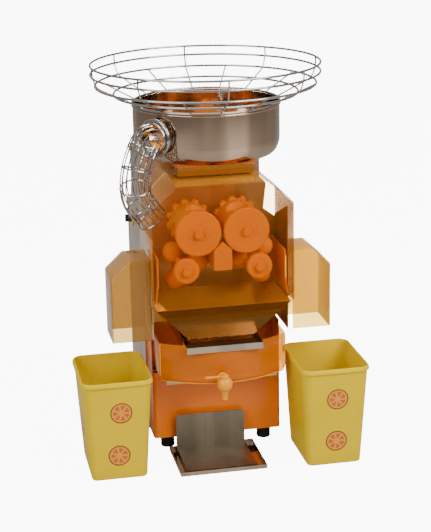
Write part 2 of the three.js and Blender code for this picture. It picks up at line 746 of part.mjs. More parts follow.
// The outline of the column seen from the front, drawn in by a wall's thickness.
function columnOutline(inset, low, top) {
  return [
    [-COLUMN_HALF + inset, low],
    [COLUMN_HALF - inset, low],
    [COLUMN_HALF - inset, SHOULDER_Z - inset],
    [NECK_RIGHT - inset, NECK_Z - inset],
    [NECK_RIGHT - inset, top - inset],
    [-COLUMN_HALF + inset, top - inset],
  ];
}

function casingOutline(inset) {
  return mirroredOutline([
    [CASING_LOW_HALF - inset, CASING_LOW + inset],
    [CASING_LOW_HALF - inset, CASING_SHOULDER - inset],
    [CASING_HIGH_HALF - inset, CASING_SHOULDER + CASING_STEP - inset],
    [CASING_HIGH_HALF - inset, CASING_TOP - inset],
  ]);
}

// Headed studs on both sides, which the peel chutes' slotted tabs hang on.
function chuteStuds() {
  const tabFace = CHUTE_INSIDE + PEEL_CHUTE_WALL + SEAT_GAP;
  return SIDES.map(([, sign]) => {
    const profile = [
      [0, COLUMN_HALF - SHEET / 2],
      [STUD_RADIUS, COLUMN_HALF - SHEET / 2],
      [STUD_RADIUS, tabFace],
      [STUD_HEAD_RADIUS, tabFace],
      [STUD_HEAD_RADIUS, tabFace + STUD_HEAD_THICK],
      [0, tabFace + STUD_HEAD_THICK],
    ];
    return turnedX(profile.map(([r, x]) => [r, sign * x]), STUD_Y, STUD_Z, SMALL_SIDES);
  });
}

function makeHousing(group) {
  const low = COLUMN_LOW;
  const lowTop = NECK_Z + SHEET;
  const outer = join(
    standingXZ(columnOutline(0, low, COLUMN_TOP), 0, NECK_DEPTH),
    standingXZ(columnOutline(0, low, lowTop), NECK_DEPTH - SHEET, COLUMN_DEPTH),
  );
  const hollows = [
    standingXZ(columnOutline(SHEET, low - OVERRUN, COLUMN_TOP), SHEET, NECK_DEPTH - SHEET),
    standingXZ(columnOutline(SHEET, low - OVERRUN, lowTop), SHEET, COLUMN_DEPTH - SHEET),
  ];
  const windowHalf = FEED_BOX_HALF + SLIDE_GAP;
  const rearSpan = [COLUMN_DEPTH - SHEET - OVERRUN, COLUMN_DEPTH + OVERRUN];
  const windows = [
    standingXZ(casingOutline(CASING_WALL), -OVERRUN, SHEET + OVERRUN),
    block(-windowHalf, windowHalf, -OVERRUN, SHEET + OVERRUN, BRACKET_LOW, COLUMN_TOP - SHEET),
    rodZ(FEEDER_NOSE_RADIUS, 0, 0, BRACKET_LOW, COLUMN_TOP + OVERRUN, SMALL_SIDES),
    block(-SERVICE_HALF, SERVICE_HALF, ...rearSpan, SERVICE_LOW, SERVICE_HIGH),
    inletBody(INLET_WALL / 2 + SEAT_GAP, ...rearSpan),
  ];
  add(group, "rear_housing", join(cut(outer, hollows, windows), chuteStuds()), "steel");
}

function makeServicePanel(group) {
  const half = SERVICE_HALF + SERVICE_LAP;
  const inside = COLUMN_DEPTH + SEAT_GAP;
  const low = SERVICE_LOW - SERVICE_LAP;
  const panel = block(-half, half, inside, inside + SHEET, low, SERVICE_HIGH + SERVICE_LAP);
  const louvres = [];
  for (let row = 0; row < LOUVRE_ROWS; row++) {
    const z = LOUVRE_LOW_Z + row * LOUVRE_PITCH;
    const louvre = block(-LOUVRE_HALF, LOUVRE_HALF, inside - OVERRUN, inside + OVERRUN, z, z + LOUVRE_HEIGHT);
    louvres.push(louvre);
  }
  add(group, "service_panel", cut(panel, louvres), "steel");
}

function inletBody(inset, y0, y1) {
  const halfWidth = INLET_WIDTH / 2 - inset;
  const halfHeight = INLET_HEIGHT / 2 - inset;
  return block(INLET_X - halfWidth, INLET_X + halfWidth, y0, y1, INLET_Z - halfHeight, INLET_Z + halfHeight);
}

function makePowerInlet(group) {
  const face = COLUMN_DEPTH + SEAT_GAP;
  const flange = inletBody(0, face, face + INLET_FLANGE);
  const body = inletBody(INLET_WALL / 2 + SHEET / 2, face - INLET_DEPTH, face + INLET_FLANGE);
  const recess = inletBody(INLET_WALL, face - INLET_RECESS, face + OVERRUN);
  add(group, "power_inlet", cut(join(flange, body), recess), "black");
}

function panelRing(inset) {
  const half = PANEL_HALF - inset;
  const radius = PANEL_CORNER - inset;
  const front = -PANEL_REACH + inset;
  const shape = new THREE.Shape();
  shape.moveTo(half, OVERRUN);
  shape.lineTo(-half, OVERRUN);
  shape.lineTo(-half, front + radius);
  shape.absarc(-half + radius, front + radius, radius, Math.PI, 1.5 * Math.PI, false);
  shape.absarc(half - radius, front + radius, radius, 1.5 * Math.PI, 2 * Math.PI, false);
  return shape;
}

function makeFrontPanel(group) {
  const outer = lyingXY(panelRing(0), FOOT_HEIGHT, PANEL_TOP);
  const inner = lyingXY(panelRing(SHEET), FOOT_HEIGHT - OVERRUN, PANEL_TOP + OVERRUN);
  const half = PANEL_HALF + OVERRUN;
  const behind = block(-half, half, 0, OVERRUN + OVERRUN, 0, PANEL_TOP + OVERRUN);
  const mouthFront = -PANEL_REACH - OVERRUN;
  const mouthRear = -PANEL_REACH + PANEL_CORNER;
  const mouth = block(-half, half, mouthFront, mouthRear, SHELF_Z, PANEL_TOP + OVERRUN);
  add(group, "front_panel", cut(outer, inner, behind, mouth), "panel");
}

function makeTankShelf(group) {
  const half = PANEL_HALF - SHEET - SEAT_GAP;
  const deck = block(-half, half, -PANEL_REACH + PANEL_CORNER, 0, SHELF_Z, SHELF_TOP);
  const nose = block(-SHELF_HALF, SHELF_HALF, -SHELF_REACH, 0, SHELF_Z, SHELF_TOP);
  const lipRear = -SHELF_REACH + SHEET;
  const lip = block(-SHELF_HALF, SHELF_HALF, -SHELF_REACH, lipRear, SHELF_TOP - SHELF_LIP, SHELF_TOP);
  add(group, "tank_shelf", join(deck, nose, lip), "steel");
}

function makeChamber(group) {
  const outline = mirroredOutline([
    [COLUMN_HALF, PANEL_TOP],
    [COLUMN_HALF, BACK_SIDE_Z],
    [BACK_WAIST_HALF, BACK_WAIST_Z],
    [BACK_WIDE_HALF, BACK_WIDE_Z],
    [BACK_TOP_HALF, BACK_TOP],
  ]);
  const plate = standingXZ(outline, -BACK_THICK, 0);
  const seats = pressAxes().map(({ x, z }) =>
    rodY(BEARING_RADIUS + SEAT_GAP, x, z, -BACK_THICK - OVERRUN, OVERRUN, SMALL_SIDES),
  );
  add(group, "chamber_back_plate", cut(plate, seats), "polished");

  for (const [side, sign] of SIDES) {
    const frontZ = sign < 0 ? WALL_FRONT_LEFT_Z : WALL_FRONT_RIGHT_Z;
    const outer = sign * COLUMN_HALF;
    const inner = sign * (COLUMN_HALF - SHEET);
    const sheet = standingYZ(
      [
        [-WALL_REACH, PANEL_TOP],
        [-BACK_THICK, PANEL_TOP],
        [-BACK_THICK, WALL_REAR_Z],
        [-WALL_REACH, frontZ],
      ],
      Math.min(outer, inner),
      Math.max(outer, inner),
    );
    const through = [inner - sign * OVERRUN, outer + sign * OVERRUN];
    const window = block(
      ...through,
      -PEEL_WINDOW_FAR,
      -PEEL_WINDOW_NEAR,
      PEEL_WINDOW_LOW,
      PEEL_WINDOW_HIGH,
    );
    const ledgeTop = COVER_SILL - SEAT_GAP;
    const ledgeEdge = sign * (COLUMN_HALF + LEDGE_WIDTH);
    const ledge = block(inner, ledgeEdge, -WALL_REACH, -LEDGE_REAR, ledgeTop - LEDGE_THICK, ledgeTop);
    add(group, `side_wall_${side}`, cut(join(sheet, ledge), window), "polished");
  }
}

// Press

function pressAxes() {
  return [
    { name: "upper_left", x: -DRUM_X, z: DRUM_Z },
    { name: "upper_right", x: DRUM_X, z: DRUM_Z },
    { name: "lower_left", x: -ROTOR_X, z: ROTOR_Z },
    { name: "lower_right", x: ROTOR_X, z: ROTOR_Z },
  ];
}

function ball(radius, x, y, z) {
  const geometry = new THREE.SphereGeometry(radius, BALL_TURNS, BALL_RINGS);
  geometry.translate(x, y, z);
  return solidOf(geometry);
}

// A disc with square lugs round its edge, about an axis along Y.
function lugDisc(x, z, outer, y0, y1) {
  const root = outer - LUG_DEPTH;
  const points = [];
  for (let i = 0; i < LUG_COUNT; i++) {
    const step = 360 / LUG_COUNT;
    const flank = LUG_FLANK_SHARE * step;
    const turns = [
      [i * step, root],
      [i * step + flank, outer],
      [(i + LUG_WIDTH_SHARE) * step, outer],
      [(i + LUG_WIDTH_SHARE) * step + flank, root],
    ];
    for (const [angle, radius] of turns) {
      points.push([x + radius * Math.cos(angle * DEG), z + radius * Math.sin(angle * DEG)]);
    }
  }
  return standingXZ(points, y0, y1);
}

// The three cups turn with the drum and take the balls of the rotor under them.
function cupDrum(sign) {
  const x = sign * DRUM_X;
  const body = rodY(CUP_BODY_RADIUS, x, DRUM_Z, -CUP_FRONT - SHEET, -LUG_DISC_REAR, FINE_SIDES);
  const cups = [];
  for (let i = 0; i < CUP_COUNT; i++) {
    const left = CUP_START_DEG + (360 * i) / CUP_COUNT;
    const angle = (sign < 0 ? left : 180 - left) * DEG;
    const cupX = x + CUP_CENTRE * Math.cos(angle);
    cups.push(ball(CUP_RADIUS, cupX, -PRESS_MIDDLE, DRUM_Z + CUP_CENTRE * Math.sin(angle)));
  }
  const face = turnedY(
    [
      [0, -PRESS_FRONT],
      [FACE_RADIUS - FACE_BEVEL, -PRESS_FRONT],
      [FACE_RADIUS, -PRESS_FRONT + FACE_BEVEL],
      [FACE_RADIUS, -CUP_FRONT],
      [0, -CUP_FRONT],
    ],
    x,
    DRUM_Z,
    FINE_SIDES,
  );
  const lugs = lugDisc(x, DRUM_Z, FACE_RADIUS, -LUG_DISC_FRONT, -LUG_DISC_REAR);
  const hub = rodY(HUB_RADIUS, x, DRUM_Z, -LUG_DISC_REAR - SHEET, -HUB_REAR);
  const bore = rodY(BORE_RADIUS, x, DRUM_Z, -PRESS_FRONT - OVERRUN, OVERRUN, SMALL_SIDES);
  return cut(join(cut(body, cups), face, lugs, hub), bore);
}

function ballRotor(sign) {
  const x = sign * ROTOR_X;
  const parts = [rodY(ROTOR_HUB_RADIUS, x, ROTOR_Z, -CUP_FRONT - SHEET, -HUB_REAR)];
  for (let i = 0; i < CUP_COUNT; i++) {
    const left = BALL_START_DEG + (360 * i) / CUP_COUNT;
    const angle = (sign < 0 ? left : 180 - left) * DEG;
    const ballX = x + BALL_CENTRE * Math.cos(angle);
    const ballZ = ROTOR_Z + BALL_CENTRE * Math.sin(angle);
    parts.push(ball(BALL_RADIUS, ballX, -PRESS_MIDDLE, ballZ));
    const armX = (x + ballX) / 2;
    const armZ = (ROTOR_Z + ballZ) / 2;
    parts.push(rodY(BALL_ARM_HALF, armX, armZ, -CUP_FRONT, -LUG_DISC_FRONT, SMALL_SIDES));
  }
  const cap = turnedY(
    [
      [0, -PRESS_FRONT],
      [ROTOR_CAP_RADIUS - FACE_BEVEL, -PRESS_FRONT],
      [ROTOR_CAP_RADIUS, -PRESS_FRONT + FACE_BEVEL],
      [ROTOR_CAP_RADIUS, -PRESS_FRONT + ROTOR_CAP_THICK],
      [0, -PRESS_FRONT + ROTOR_CAP_THICK],
    ],
    x,
    ROTOR_Z,
  );
  const bore = rodY(BORE_RADIUS, x, ROTOR_Z, -PRESS_FRONT - OVERRUN, OVERRUN, SMALL_SIDES);
  return cut(join(parts, cap), bore);
}

function makePress(group) {
  for (const [side, sign] of SIDES) {
    add(group, `cup_drum_${side}`, cupDrum(sign), "orange");
    add(group, `ball_rotor_${side}`, ballRotor(sign), "orange");
  }
  for (const { name, x, z } of pressAxes()) {
    add(group, `shaft_${name}`, rodY(SHAFT_RADIUS, x, z, -SHAFT_NOSE, SHAFT_TAIL, SMALL_SIDES), "polished");
    const front = -PRESS_FRONT - SEAT_GAP;
    const knob = turnedY(
      [
        [0, front - KNOB_LENGTH],
        [KNOB_RADIUS - FACE_BEVEL, front - KNOB_LENGTH],
        [KNOB_RADIUS, front - KNOB_LENGTH + FACE_BEVEL],
        [KNOB_RADIUS, front],
        [SHAFT_RADIUS, front],
        [SHAFT_RADIUS, front + KNOB_STUD],
        [0, front + KNOB_STUD],
      ],
      x,
      z,
      SMALL_SIDES,
    );
    add(group, `hand_nut_${name}`, knob, "orange");
    const bearing = turnedY(
      [
        [BORE_RADIUS, -BEARING_FRONT],
        [BEARING_RADIUS - BEARING_LIP, -BEARING_FRONT],
        [BEARING_RADIUS, -BEARING_FRONT + BEARING_LIP],
        [BEARING_RADIUS, -SEAT_GAP],
        [BORE_RADIUS, -SEAT_GAP],
        [BORE_RADIUS, -BEARING_FRONT],
      ],
      x,
      z,
      SMALL_SIDES,
    );
    add(group, `bearing_${name}`, bearing, "steel");
  }
}

function makeKnife(group) {
  const outline = mirroredOutline([
    [HOLDER_HALF, HOLDER_LOW],
    [HOLDER_HALF, HOLDER_SHOULDER],
    [BLADE_HALF + SEAT_GAP, HOLDER_APEX],
  ]);
  const slotHalf = BLADE_HALF + SEAT_GAP;
  const slot = block(
    -slotHalf,
    slotHalf,
    -BLADE_FRONT - SEAT_GAP,
    -BLADE_REAR + SEAT_GAP,
    BLADE_LOW - SEAT_GAP,
    HOLDER_APEX + OVERRUN,
  );
  add(group, "knife_holder", cut(standingXZ(outline, -HOLDER_REACH, -BACK_THICK), slot), "orange");
  const blade = standingXZ(
    [
      [-BLADE_HALF, BLADE_LOW],
      [BLADE_HALF, BLADE_LOW],
      [BLADE_HALF, BLADE_TOP - BLADE_BEVEL],
      [0, BLADE_TOP],
      [-BLADE_HALF, BLADE_TOP - BLADE_BEVEL],
    ],
    -BLADE_FRONT,
    -BLADE_REAR,
  );
  add(group, "knife_blade", blade, "polished");
}

function makePeelGuides(group) {
  for (const [side, sign] of SIDES) {
    const outline = [
      [sign * GUIDE_TOP_X, GUIDE_TOP_Z],
      [sign * GUIDE_WAIST_X, GUIDE_WAIST_Z],
      [sign * GUIDE_LOW_X, GUIDE_LOW_Z],
      [sign * (GUIDE_LOW_X - GUIDE_THICK), GUIDE_LOW_Z],
      [sign * (GUIDE_WAIST_X - GUIDE_THICK), GUIDE_WAIST_Z],
      [sign * (GUIDE_TOP_X - GUIDE_THICK), GUIDE_TOP_Z],
    ];
    add(group, `peel_guide_${side}`, standingXZ(outline, -GUIDE_REACH, -BACK_THICK), "orange");
  }
}

// Drives

// A gear about an axis along Y, with one tooth centred on the angle phaseDeg, or one gap when onGap is true.
function gear(x, z, teeth, pitchRadius, phaseDeg, onGap, y0, y1) {
  const module = (2 * pitchRadius) / teeth;
  const step = 360 / teeth;
  const tip = pitchRadius + ADDENDUM_SHARE * module;
  const root = pitchRadius - DEDENDUM_SHARE * module;
  const start = phaseDeg + (onGap ? step / 2 : 0);
  const points = [];
  for (let i = 0; i < teeth; i++) {
    const middle = start + i * step;
    const flanks = [
      [-TOOTH_ROOT_SHARE / 2, root],
      [-TOOTH_TIP_SHARE / 2, tip],
      [TOOTH_TIP_SHARE / 2, tip],
      [TOOTH_ROOT_SHARE / 2, root],
    ];
    for (const [share, radius] of flanks) {
      const angle = (middle + share * step) * DEG;
      points.push([x + radius * Math.cos(angle), z + radius * Math.sin(angle)]);
    }
  }
  return standingXZ(points, y0, y1);
}

function makeGears(group) {
  const pitchRadius = CROSS_PITCH_RADIUS;
  for (const [side, sign] of SIDES) {
    const upX = sign * DRUM_X;
    const lowX = sign * ROTOR_X;
    const downDeg = Math.atan2(ROTOR_Z - DRUM_Z, lowX - upX) / DEG;
    const inwardDeg = sign < 0 ? 0 : 180;
    const upper = join(
      gear(upX, DRUM_Z, CROSS_TEETH, pitchRadius, downDeg, false, CROSS_GEAR_FRONT, CROSS_GEAR_REAR),
      gear(upX, DRUM_Z, PAIR_TEETH, DRUM_X, inwardDeg, sign > 0, PAIR_GEAR_FRONT, PAIR_GEAR_REAR),
      rodY(GEAR_HUB_RADIUS, upX, DRUM_Z, CROSS_GEAR_FRONT, PAIR_GEAR_REAR, SMALL_SIDES),
    );
    const upBore = rodY(BORE_RADIUS, upX, DRUM_Z, 0, PAIR_GEAR_REAR + OVERRUN, SMALL_SIDES);
    add(group, `gear_upper_${side}`, cut(upper, upBore), "nylon");
    const lower = join(
      gear(lowX, ROTOR_Z, CROSS_TEETH, pitchRadius, downDeg + 180, true, CROSS_GEAR_FRONT, CROSS_GEAR_REAR),
      rodY(GEAR_HUB_RADIUS, lowX, ROTOR_Z, CROSS_GEAR_FRONT, PAIR_GEAR_REAR, SMALL_SIDES),
    );
    const lowBore = rodY(BORE_RADIUS, lowX, ROTOR_Z, 0, PAIR_GEAR_REAR + OVERRUN, SMALL_SIDES);
    add(group, `gear_lower_${side}`, cut(lower, lowBore), "nylon");
  }
}

function makeGearCasing(group) {
  const outer = standingXZ(casingOutline(0), CASING_FRONT, CASING_DEPTH);
  const inner = standingXZ(casingOutline(CASING_WALL), CASING_FRONT - OVERRUN, CASING_DEPTH - CASING_BACK);
  const through = CASING_DEPTH + OVERRUN;
  const bores = pressAxes().map(({ x, z }) => rodY(BORE_RADIUS, x, z, 0, through, SMALL_SIDES));
  add(group, "gear_casing", cut(outer, inner, bores), "cast");
}

function makeMainMotor(group) {
  const front = CASING_DEPTH + SEAT_GAP;
  const boxFront = front + WORM_FLANGE;
  const boxRear = boxFront + WORM_DEPTH;
  const middle = (boxFront + boxRear) / 2;
  const motorTop = DRUM_Z - WORM_HALF;
  const box = block(DRUM_X - WORM_HALF, DRUM_X + WORM_HALF, boxFront, boxRear, motorTop, DRUM_Z + WORM_HALF);
  const flange = rodY(WORM_FLANGE_RADIUS, DRUM_X, DRUM_Z, front, boxFront + SHEET);
  const motorLow = motorTop - MOTOR_LENGTH;
  const core = MOTOR_RADIUS - MOTOR_RIB_DEPTH;
  const profile = [[0, motorLow]];
  const pitch = MOTOR_LENGTH / (2 * MOTOR_RIBS);
  for (let i = 0; i < MOTOR_RIBS; i++) {
    const z = motorLow + 2 * i * pitch;
    profile.push([MOTOR_RADIUS, z], [MOTOR_RADIUS, z + pitch], [core, z + pitch], [core, z + 2 * pitch]);
  }
  profile.push([0, motorTop]);
  const neck = rodZ(WORM_FLANGE_RADIUS, DRUM_X, middle, motorTop - SHEET, motorTop + SHEET, SMALL_SIDES);
  const motor = turnedZ(profile, DRUM_X, middle, SMALL_SIDES);
  const bore = rodY(BORE_RADIUS, DRUM_X, DRUM_Z, 0, boxFront, SMALL_SIDES);
  add(group, "main_gearmotor", cut(join(box, flange, neck, motor), bore), "cast");
}

function makeFeedDrive(group) {
  const top = COLUMN_TOP - SHEET - SEAT_GAP;
  const low = top - FEED_BOX_HEIGHT;
  const box = block(-FEED_BOX_HALF, FEED_BOX_HALF, -FEED_BOX_FRONT, FEED_BOX_REAR, low, top);
  const motorLow = low - FEED_MOTOR_LENGTH;
  const motor = rodZ(FEED_MOTOR_RADIUS, 0, FEED_MOTOR_Y, motorLow, low + SHEET, SMALL_SIDES);
  const bore = rodZ(BORE_RADIUS, 0, 0, FEEDER_SHAFT_TIP - SEAT_GAP, top + OVERRUN);
  add(group, "feeder_gearmotor", cut(join(box, motor), bore), "cast");
}

// Feed drum

function makeBracket(group) {
  const outer = block(-BRACKET_HALF, BRACKET_HALF, -BRACKET_REACH, 0, BRACKET_LOW, COLUMN_TOP);
  const inner = block(
    -BRACKET_HALF + SHEET,
    BRACKET_HALF - SHEET,
    -BRACKET_REACH + SHEET,
    OVERRUN,
    BRACKET_LOW - OVERRUN,
    COLUMN_TOP - SHEET,
  );
  const hole = rodZ(FEEDER_NOSE_RADIUS, 0, 0, BRACKET_LOW, COLUMN_TOP + OVERRUN, SMALL_SIDES);
  add(group, "drum_bracket", cut(outer, inner, hole), "steel");
}

// The drum's side from the flat bottom up to the straight wall, moved in by an inset.
function drumBend(inset) {
  const points = [];
  for (let i = 0; i <= FEED_DRUM_BEND_STEPS; i++) {
    const angle = (i / FEED_DRUM_BEND_STEPS) * QUARTER_TURN;
    const rise = FEED_DRUM_BEND_Z - DRUM_LOW - inset;
    const flare = FEED_DRUM_RADIUS - FEED_DRUM_FOOT_RADIUS;
    points.push([
      FEED_DRUM_FOOT_RADIUS - inset + flare * Math.sin(angle),
      FEED_DRUM_BEND_Z - rise * Math.cos(angle),
    ]);
  }
  return points;
}

function outletDirection() {
  const turn = OUTLET_TURN_DEG * DEG;
  return new THREE.Vector3(-Math.sin(turn), -Math.cos(turn), 0);
}

// Moves a solid's geometry turned about Z so that its axis points out of the outlet.
function alongOutlet(profile, sides) {
  const geometry = lathe(profile, sides);
  const turn = new THREE.Quaternion().setFromUnitVectors(new THREE.Vector3(0, 1, 0), outletDirection());
  geometry.applyQuaternion(turn);
  geometry.translate(0, 0, OUTLET_Z);
  return solidOf(geometry);
}

function makeFeedDrum(group) {
  const roll = FEED_DRUM_ROLL;
  const profile = [
    [FEEDER_NOSE_RADIUS, DRUM_LOW],
    ...drumBend(0),
    [FEED_DRUM_RADIUS, FEED_DRUM_TOP - 2 * roll],
    [FEED_DRUM_RADIUS + roll, FEED_DRUM_TOP - roll],
    [FEED_DRUM_RADIUS + roll / 2, FEED_DRUM_TOP],
    [FEED_DRUM_RADIUS - SHEET, FEED_DRUM_TOP],
    ...drumBend(SHEET).reverse(),
    [FEEDER_NOSE_RADIUS, DRUM_LOW + SHEET],
    [FEEDER_NOSE_RADIUS, DRUM_LOW],
  ];
  const outlet = alongOutlet(rodProfile(OUTLET_BORE, COLLAR_ROOT, COLLAR_REACH), ROUND_SIDES);
  add(group, "feed_drum", cut(turnedZ(profile, 0, 0, FINE_SIDES), outlet), "polished");

  const collarProfile = [
    [OUTLET_BORE, COLLAR_ROOT],
    [OUTLET_BORE + COLLAR_WALL, COLLAR_ROOT],
    [OUTLET_BORE + COLLAR_WALL, COLLAR_REACH - FLANGE_THICK],
    [FLANGE_RADIUS - roll, COLLAR_REACH - FLANGE_THICK],
    [FLANGE_RADIUS, COLLAR_REACH - FLANGE_THICK / 2],
    [FLANGE_RADIUS - roll, COLLAR_REACH],
    [OUTLET_BORE + roll, COLLAR_REACH],
    [OUTLET_BORE, COLLAR_REACH - roll],
    [OUTLET_BORE, COLLAR_ROOT],
  ];
  const spaceProfile = [
    [0, DRUM_LOW - OVERRUN],
    ...drumBend(-SEAT_GAP),
    [FEED_DRUM_RADIUS + SEAT_GAP, FEED_DRUM_TOP],
    [0, FEED_DRUM_TOP],
  ];
  const drumSpace = turnedZ(spaceProfile, 0, 0, FINE_SIDES);
  add(group, "outlet_collar", cut(alongOutlet(collarProfile, ROUND_SIDES), drumSpace), "chrome");
}

function makeFeeder(group) {
  const low = DRUM_LOW + SHEET + FEEDER_LIFT;
  const top = low + FEEDER_THICK;
  const disc = rodZ(FEEDER_RADIUS, 0, 0, low, top, FINE_SIDES);
  const pockets = [];
  for (let i = 0; i < FEEDER_POCKETS; i++) {
    const angle = (2 * Math.PI * i) / FEEDER_POCKETS;
    const { x, y } = polar(FEEDER_RADIUS - FEEDER_POCKET_RADIUS / 2, angle, low);
    pockets.push(rodZ(FEEDER_POCKET_RADIUS, x, y, low - OVERRUN, top + OVERRUN, SMALL_SIDES));
  }
  const core = turnedZ(
    [
      [0, FEEDER_SHAFT_TIP],
      [SHAFT_RADIUS, FEEDER_SHAFT_TIP],
      [SHAFT_RADIUS, low],
      [FEEDER_CONE_RADIUS, low],
      [FEEDER_CONE_RADIUS, top],
      [FEEDER_NOSE_RADIUS, top + FEEDER_CONE_HEIGHT],
      [0, top + FEEDER_CONE_HEIGHT + FEEDER_NOSE_RADIUS],
    ],
    0,
    0,
  );
  add(group, "feeder_disc", join(cut(disc, pockets), core), "orange");
}

// Basket and wire chute

function polar(radius, angle, z) {
  return new THREE.Vector3(radius * Math.cos(angle), radius * Math.sin(angle), z);
}

function makeBasket(group) {
  const seatZ = FEED_DRUM_TOP + SEAT_GAP + WIRE_RADIUS;
  const wires = [
    wireRing(BASKET_RADIUS, BASKET_TOP - WIRE_RADIUS, WIRE_RADIUS, BASKET_RING_STEPS),
    wireRing(BASKET_RADIUS, BASKET_MIDDLE, WIRE_RADIUS, BASKET_RING_STEPS),
    wireRing(BASKET_LOW_RADIUS, BASKET_LOW, WIRE_RADIUS, BASKET_RING_STEPS),
    wireRing(FEED_DRUM_RADIUS, seatZ, WIRE_RADIUS, BASKET_RING_STEPS),
  ];
  for (let i = 1; i <= BASKET_FLOOR_RINGS; i++) {
    const share = i / (BASKET_FLOOR_RINGS + 1);
    const radius = THREE.MathUtils.lerp(FEED_DRUM_RADIUS, BASKET_LOW_RADIUS, share);
    const z = THREE.MathUtils.lerp(seatZ, BASKET_LOW, share);
    wires.push(wireRing(radius, z, WIRE_RADIUS, BASKET_RING_STEPS));
  }
  for (let i = 0; i < 2 * BASKET_POSTS; i++) {
    const angle = (Math.PI * i) / BASKET_POSTS;
    const foot = polar(FEED_DRUM_RADIUS, angle, seatZ);
    const bend = polar(BASKET_LOW_RADIUS, angle, BASKET_LOW);
    wires.push(straightWire(foot, bend, RIB_RADIUS));
    if (i % 2) continue;
    const knee = polar(BASKET_RADIUS, angle, BASKET_MIDDLE);
    wires.push(straightWire(bend, knee, RIB_RADIUS));
    wires.push(straightWire(knee, polar(BASKET_RADIUS, angle, BASKET_TOP - WIRE_RADIUS), RIB_RADIUS));
  }
  add(group, "fruit_basket", join(wires), "chrome");
}

function chutePath() {
  const start = outletDirection().multiplyScalar(COLLAR_REACH + SEAT_GAP + CHUTE_HOOP_WIRE);
  start.z = OUTLET_Z;
  const lead = start.clone().addScaledVector(outletDirection(), CHUTE_LEAD);
  lead.z -= CHUTE_LEAD_DROP;
  return new THREE.CatmullRomCurve3([
    start,
    lead,
    new THREE.Vector3(CHUTE_OUT_X, CHUTE_OUT_Y, CHUTE_OUT_Z),
    new THREE.Vector3(CHUTE_BEND_X, CHUTE_BEND_Y, CHUTE_BEND_Z),
    new THREE.Vector3(CHUTE_END_X, CHUTE_END_Y, CHUTE_END_Z),
  ]);
}

// Wire hoops stand square to the path, and the rods run through the same place on every hoop.
function makeWireChute(group) {
  const path = chutePath();
  const frames = path.computeFrenetFrames(CHUTE_ROD_STEPS, false);
  frames.tangents[0] = outletDirection();
  const axesAt = (step) => {
    const flat = new THREE.Vector3(0, 1, 0).cross(frames.tangents[step]).normalize();
    const high = frames.tangents[step].clone().cross(flat).normalize();
    return [flat, high, frames.tangents[step]];
  };
  const spot = (step, angle) => {
    const [flat, high] = axesAt(step);
    return path
      .getPointAt(step / CHUTE_ROD_STEPS)
      .addScaledVector(flat, CHUTE_RADIUS * Math.cos(angle))
      .addScaledVector(high, CHUTE_RADIUS * Math.sin(angle));
  };
  const wires = [];
  for (let i = 0; i < CHUTE_RODS; i++) {
    const angle = (2 * Math.PI * i) / CHUTE_RODS;
    const points = Array.from({ length: CHUTE_ROD_STEPS + 1 }, (_, step) => spot(step, angle));
    wires.push(wire(new THREE.CatmullRomCurve3(points), CHUTE_WIRE, CHUTE_ROD_STEPS));
  }
  for (let h = 0; h < CHUTE_HOOPS; h++) {
    const step = Math.round((h * CHUTE_ROD_STEPS) / (CHUTE_HOOPS - 1));
    const hoop = new THREE.TorusGeometry(CHUTE_RADIUS, CHUTE_HOOP_WIRE, WIRE_SIDES, CHUTE_HOOP_STEPS);
    const centre = path.getPointAt(step / CHUTE_ROD_STEPS);
    hoop.applyMatrix4(new THREE.Matrix4().makeBasis(...axesAt(step)).setPosition(centre));
    wires.push(solidOf(hoop));
  }
  add(group, "wire_chute", join(wires), "chrome");
}

// Cover and peel chutes

function coverOutline(inset, low) {
  return mirroredOutline([
    [COVER_HALF - inset, low],
    [COVER_HALF - inset, COVER_SHOULDER - inset / 2],
    [COVER_TOP_HALF - inset / 2, COVER_TOP - inset],
  ]);
}

function makeCover(group) {
  const inside = -COVER_REACH + COVER_WALL;
  const outer = standingXZ(coverOutline(0, COVER_SILL), -COVER_REACH, -SEAT_GAP);
  const inner = standingXZ(coverOutline(COVER_WALL, COVER_SILL - OVERRUN), inside, OVERRUN);
  const tongue = standingXZ(
    mirroredOutline([
      [COVER_TONGUE_HALF, COVER_TONGUE_Z],
      [COVER_HALF, COVER_SILL],
      [COVER_HALF, COVER_SILL + COVER_WALL],
    ]),
    -COVER_REACH,
    inside,
  );
  const notchLeft = -COVER_HALF - OVERRUN;
  const notch = block(notchLeft, -COVER_TOP_HALF, inside, OVERRUN, COVER_NOTCH_Z, COVER_TOP + OVERRUN);
  const windows = block(
    -COVER_HALF - OVERRUN,
    COVER_HALF + OVERRUN,
    -PEEL_WINDOW_FAR,
    -PEEL_WINDOW_NEAR,
    COVER_SILL - OVERRUN,
    COVER_WINDOW_TOP,
  );
  add(group, "front_cover", cut(join(cut(outer, inner), tongue), notch, windows), "amber");
}

